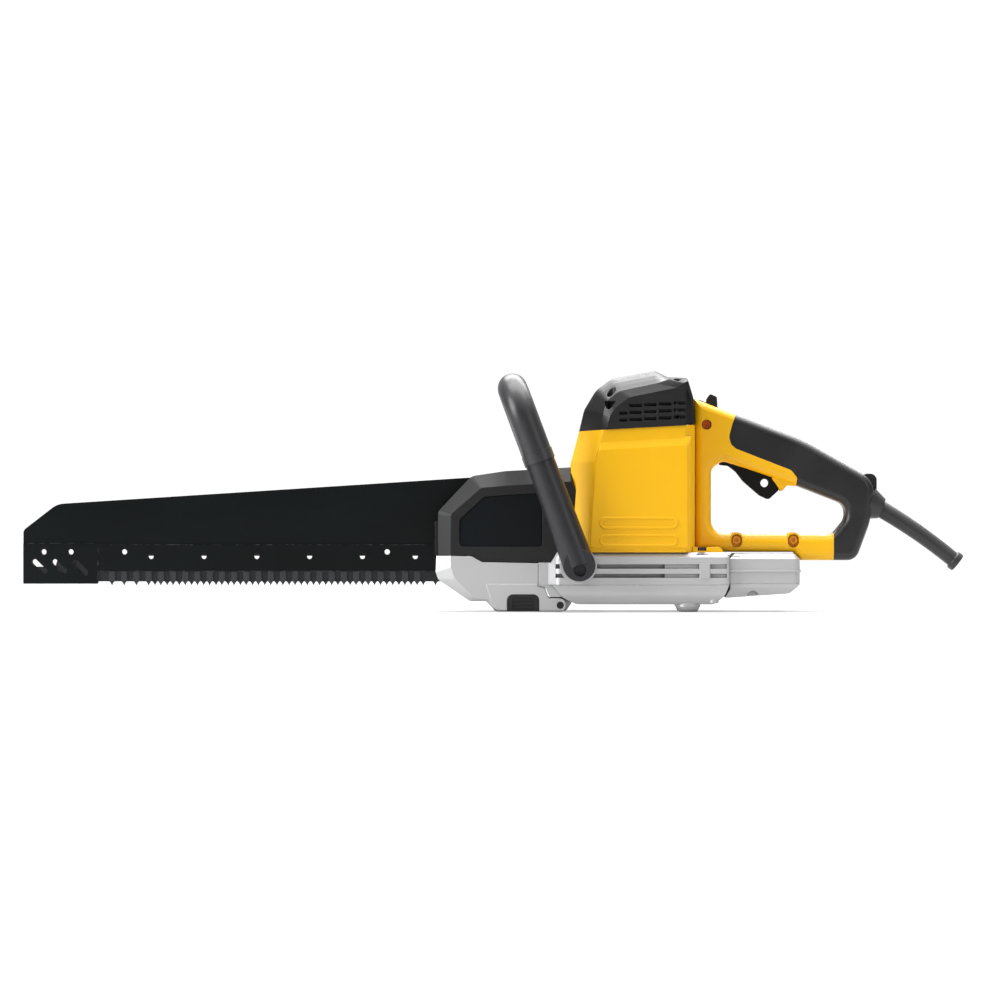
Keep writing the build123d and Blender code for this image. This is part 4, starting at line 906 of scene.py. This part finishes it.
@dataclass
class Drive(SubAssembly):
    """The crank, its gear, bearings and bushings."""

    def coats(self) -> dict[str, Finish]:
        """Return the finish of each CAD node."""
        steel = ("crank_gear", "crankshaft", "crank_bearings", "armature_shaft", "motor_bearings")
        return {**dict.fromkeys(steel, MACHINED), "rod_bushings": BRONZE}


@dataclass
class Motor(SubAssembly):
    """The windings, cores, commutator, brushes and fan."""

    def coats(self) -> dict[str, Finish]:
        """Return the finish of each CAD node."""
        return {
            "armature_core": CORE_STACK,
            "stator_core": CORE_STACK,
            "armature_windings": ROTOR_WIRE,
            "field_coils": FIELD_WIRE,
            "commutator": BRUSH_BRASS,
            "brush_holders": BRUSH_BRASS,
            "carbon_brushes": CARBON,
            "fan": BLACK_NYLON,
            "bearing_bridge": BLACK_NYLON,
        }


@dataclass
class Housing(SubAssembly):
    """The yellow motor housing, its black cap, screws, and guards with inlaid panels."""

    panel_corners: tuple[Corner, ...] = (
        (-0.0352, 0.0679),
        (-0.0349, 0.0958),
        (-0.0093, 0.1191),
        (0.0122, 0.1208),
        (0.0501, 0.1230),
        (0.0501, 0.0679),
    )
    panel_radii: tuple[float, ...] = (0.0046, 0.0046, 0.0056, 0.005, 0.0036, 0.0036)
    panel_back: float = 0.0262
    panel_face: float = 0.0272

    def build(self) -> list[bpy.types.Object]:
        """Lay a dark panel in the recess on each side of the guard."""
        panels = []
        for side in Side:
            panel = Inlay(
                f"guard_panel_{side.label}",
                self.panel_corners,
                self.panel_radii,
                back=side.value * self.panel_back,
                face=side.value * self.panel_face,
            ).build()
            panel.data.materials.append(PANEL_NYLON.material())
            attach(panel, FRAME_BODY)
            panels.append(panel)
        return panels

    def coats(self) -> dict[str, Finish]:
        """Return the finish of each CAD node."""
        return {
            "motor_housing": YELLOW_SHELL,
            "top_cap": BLACK_NYLON,
            "cap_screws": OXIDE_SCREW,
            "housing_screws": OXIDE_SCREW,
            "front_guard_left": GUARD_NYLON,
            "front_guard_right": GUARD_NYLON,
        }


@dataclass
class Casting(SubAssembly):
    """The silver gear case, its covers, the hinged door and the two latches."""

    def coats(self) -> dict[str, Finish]:
        """Return the finish of each CAD node."""
        cast = ("gear_case", "case_bottom_cover", "rear_extension", "extension_cover", "front_door")
        return {
            **dict.fromkeys(cast, SILVER),
            "case_screws": OXIDE_SCREW,
            "door_hinge_pin": OXIDE_SCREW,
            "latch_left": BLACK_NYLON,
            "latch_right": BLACK_NYLON,
        }


@dataclass
class RearHandle(SubAssembly):
    """The rear handle with its rubber grip, trigger, lock-off button and cord exit."""

    def coats(self) -> dict[str, Finish]:
        """Return the finish of each CAD node."""
        return {
            "handle_shell_left": YELLOW_SHELL,
            "handle_shell_right": YELLOW_SHELL,
            "rear_grip": PALM_RUBBER,
            "handle_screws": ZINC_SCREW,
            "switch_module": BLACK_NYLON,
            "trigger": TRIGGER_NYLON,
            "trigger_pin": MACHINED,
            "lock_off_button": BLACK_NYLON,
            "cord_gland": CORD_RUBBER,
            "cord_hook": BLACK_NYLON,
            "cord_sleeve": CORD_RUBBER,
        }


@dataclass
class FrontHandle(SubAssembly):
    """The bail over the saw, its grip, collars and bolts."""

    def coats(self) -> dict[str, Finish]:
        """Return the finish of each CAD node."""
        return {
            "front_handle": BAIL_NYLON,
            "front_handle_grip": BAIL_RUBBER,
            "front_handle_collars": BAIL_RUBBER,
            "front_handle_bolts": OXIDE_SCREW,
        }


@dataclass
class Lamp:
    """A soft box: where it stands, what it points at and how strong it is."""

    name: str
    stand: Point
    aim: Point
    size: tuple[float, float]
    watts: float

    def light(self) -> bpy.types.Object:
        """Make the soft box."""
        data = bpy.data.lights.new(self.name, "AREA")
        data.shape = "RECTANGLE"
        data.size, data.size_y = self.size
        data.energy = self.watts
        lamp = bpy.data.objects.new(self.name, data)
        lamp.location = self.stand
        reach = Vector(self.aim) - Vector(self.stand)
        lamp.rotation_euler = reach.to_track_quat("-Z", "Y").to_euler()
        lamp.visible_camera = False
        bpy.context.scene.collection.objects.link(lamp)
        return lamp


@dataclass
class Studio:
    """A white sweep, soft boxes and a long lens at the height of the saw."""

    camera_distance: float = 4.5
    frame_width: float = 1.0437
    aim_offset: Point = (0.00694, 0.0, -0.0091)
    sensor: float = 36.0
    far_clip: float = 200.0
    floor_radius: float = 2.4
    floor_solid: float = 0.7
    floor_sides: int = 96
    floor_dark: Colour = (0.3, 0.3, 0.3)
    floor_light: Colour = (0.34, 0.34, 0.34)
    floor_glow: float = 0.4
    horizon_glow: float = 0.1
    ceiling_glow: float = 2.0
    sweep_glow: float = 0.75
    backdrop_glow: float = 1.05
    lamps: list[Lamp] = field(
        default_factory=lambda: [
            Lamp("front_box", (-2.4, -1.0, 0.8), (0.1, 0.0, 0.1), (1.4, 1.4), watts=78.0),
            Lamp("fill_box", (1.9, -1.9, 0.9), (0.2, 0.0, 0.1), (1.2, 1.2), watts=8.0),
            Lamp("back_box", (0.3, 1.7, 1.9), (0.1, 0.0, 0.1), (2.8, 1.0), watts=80.0),
            Lamp("top_box", (0.0, 0.1, 2.1), (0.0, 0.0, 0.0), (2.8, 1.2), watts=80.0),
        ]
    )

    def camera(self, low: Vector, high: Vector) -> bpy.types.Object:
        """Set up the camera square on to the saw's left side.

        Args:
            low: The saw's lowest corner.
            high: The saw's highest corner.

        Returns:
            The camera.
        """
        data = bpy.data.cameras.new("camera")
        data.sensor_width = self.sensor
        data.lens = self.sensor * self.camera_distance / self.frame_width
        data.clip_end = self.far_clip
        target = (low + high) / 2 + Vector(self.aim_offset)
        camera = bpy.data.objects.new("camera", data)
        camera.location = target - Vector((0.0, self.camera_distance, 0.0))
        camera.rotation_euler = (math.pi / 2, 0.0, 0.0)
        bpy.context.scene.collection.objects.link(camera)
        bpy.context.scene.camera = camera
        return camera

    def world(self) -> None:
        """Make the white tent: bright above and below, dim at eye level, plain white to see."""
        world = bpy.data.worlds.new("tent")
        bench = Bench("tent", world)
        facing = bench.add("ShaderNodeTexCoord", {}, {}, "Generated")
        height = bench.add("ShaderNodeSeparateXYZ", {}, {0: facing}, "Z")
        ceiling = bench.spread(height, low=0.4, high=0.9) * self.ceiling_glow
        sweep = bench.spread(0 - height, low=0.05, high=0.3) * self.sweep_glow
        strength = ceiling + sweep + self.horizon_glow
        backdrop = {"Color": WHITE, "Strength": self.backdrop_glow}
        glow = bench.add("ShaderNodeBackground", {}, {"Strength": strength})
        seen = bench.add("ShaderNodeBackground", {}, backdrop)
        looked_at = bench.add("ShaderNodeLightPath", {}, {}, "Is Camera Ray")
        both = bench.add("ShaderNodeMixShader", {}, {0: looked_at, 1: glow, 2: seen})
        bench.add("ShaderNodeOutputWorld", {}, {"Surface": both})
        bpy.context.scene.world = world

    def floor(self, level: float) -> bpy.types.Object:
        """Lay the pale floor.

        Args:
            level: The height that the saw stands on, in metres.

        Returns:
            The floor.
        """
        shape = bmesh.new()
        bmesh.ops.create_circle(
            shape, cap_ends=True, radius=self.floor_radius, segments=self.floor_sides
        )
        mesh = bpy.data.meshes.new("floor")
        shape.to_mesh(mesh)
        shape.free()
        floor = bpy.data.objects.new("floor", mesh)
        floor.location.z = level
        bench = Bench("pale_floor")
        cloud = bench.noise(1.5, detail=3.0)
        length = {"operation": "LENGTH"}
        away = bench.add("ShaderNodeVectorMath", length, {0: bench.place()}, "Value")
        fade = bench.spread(away, self.floor_solid, self.floor_radius)
        finish = bench.surface(
            {
                "Emission Color": WHITE,
                "Emission Strength": self.floor_glow,
                "Specular IOR Level": 0.0,
            },
            {
                "Base Color": bench.blend(cloud, self.floor_dark, self.floor_light),
                "Roughness": 0.85 + cloud * 0.1,
                "Alpha": 1 - fade,
            },
        )
        mesh.materials.append(finish)
        bpy.context.scene.collection.objects.link(floor)
        floor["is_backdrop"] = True
        return floor

    def set_up(self, low: Vector, high: Vector) -> None:
        """Put up the whole studio round the saw.

        Args:
            low: The saw's lowest corner.
            high: The saw's highest corner.
        """
        bpy.context.scene.view_settings.view_transform = "Standard"
        self.world()
        self.floor(low.z)
        self.camera(low, high)
        for lamp in self.lamps:
            lamp.light()
        LOG.info("the studio is up with %d soft boxes", len(self.lamps))


def main() -> None:
    """Load the frame, dress and complete each group, and put up the studio."""
    logging.basicConfig(level=logging.INFO, format="%(message)s")
    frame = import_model()
    low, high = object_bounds()
    nodes = frame["nodes"]
    groups = [
        GuideBar(),
        Blades(),
        Drive(),
        Motor(),
        Housing(),
        Casting(),
        RearHandle(),
        FrontHandle(),
    ]
    for group in groups:
        group.make(nodes)
    Studio().set_up(low, high)


if __name__ == "__main__":
    main()
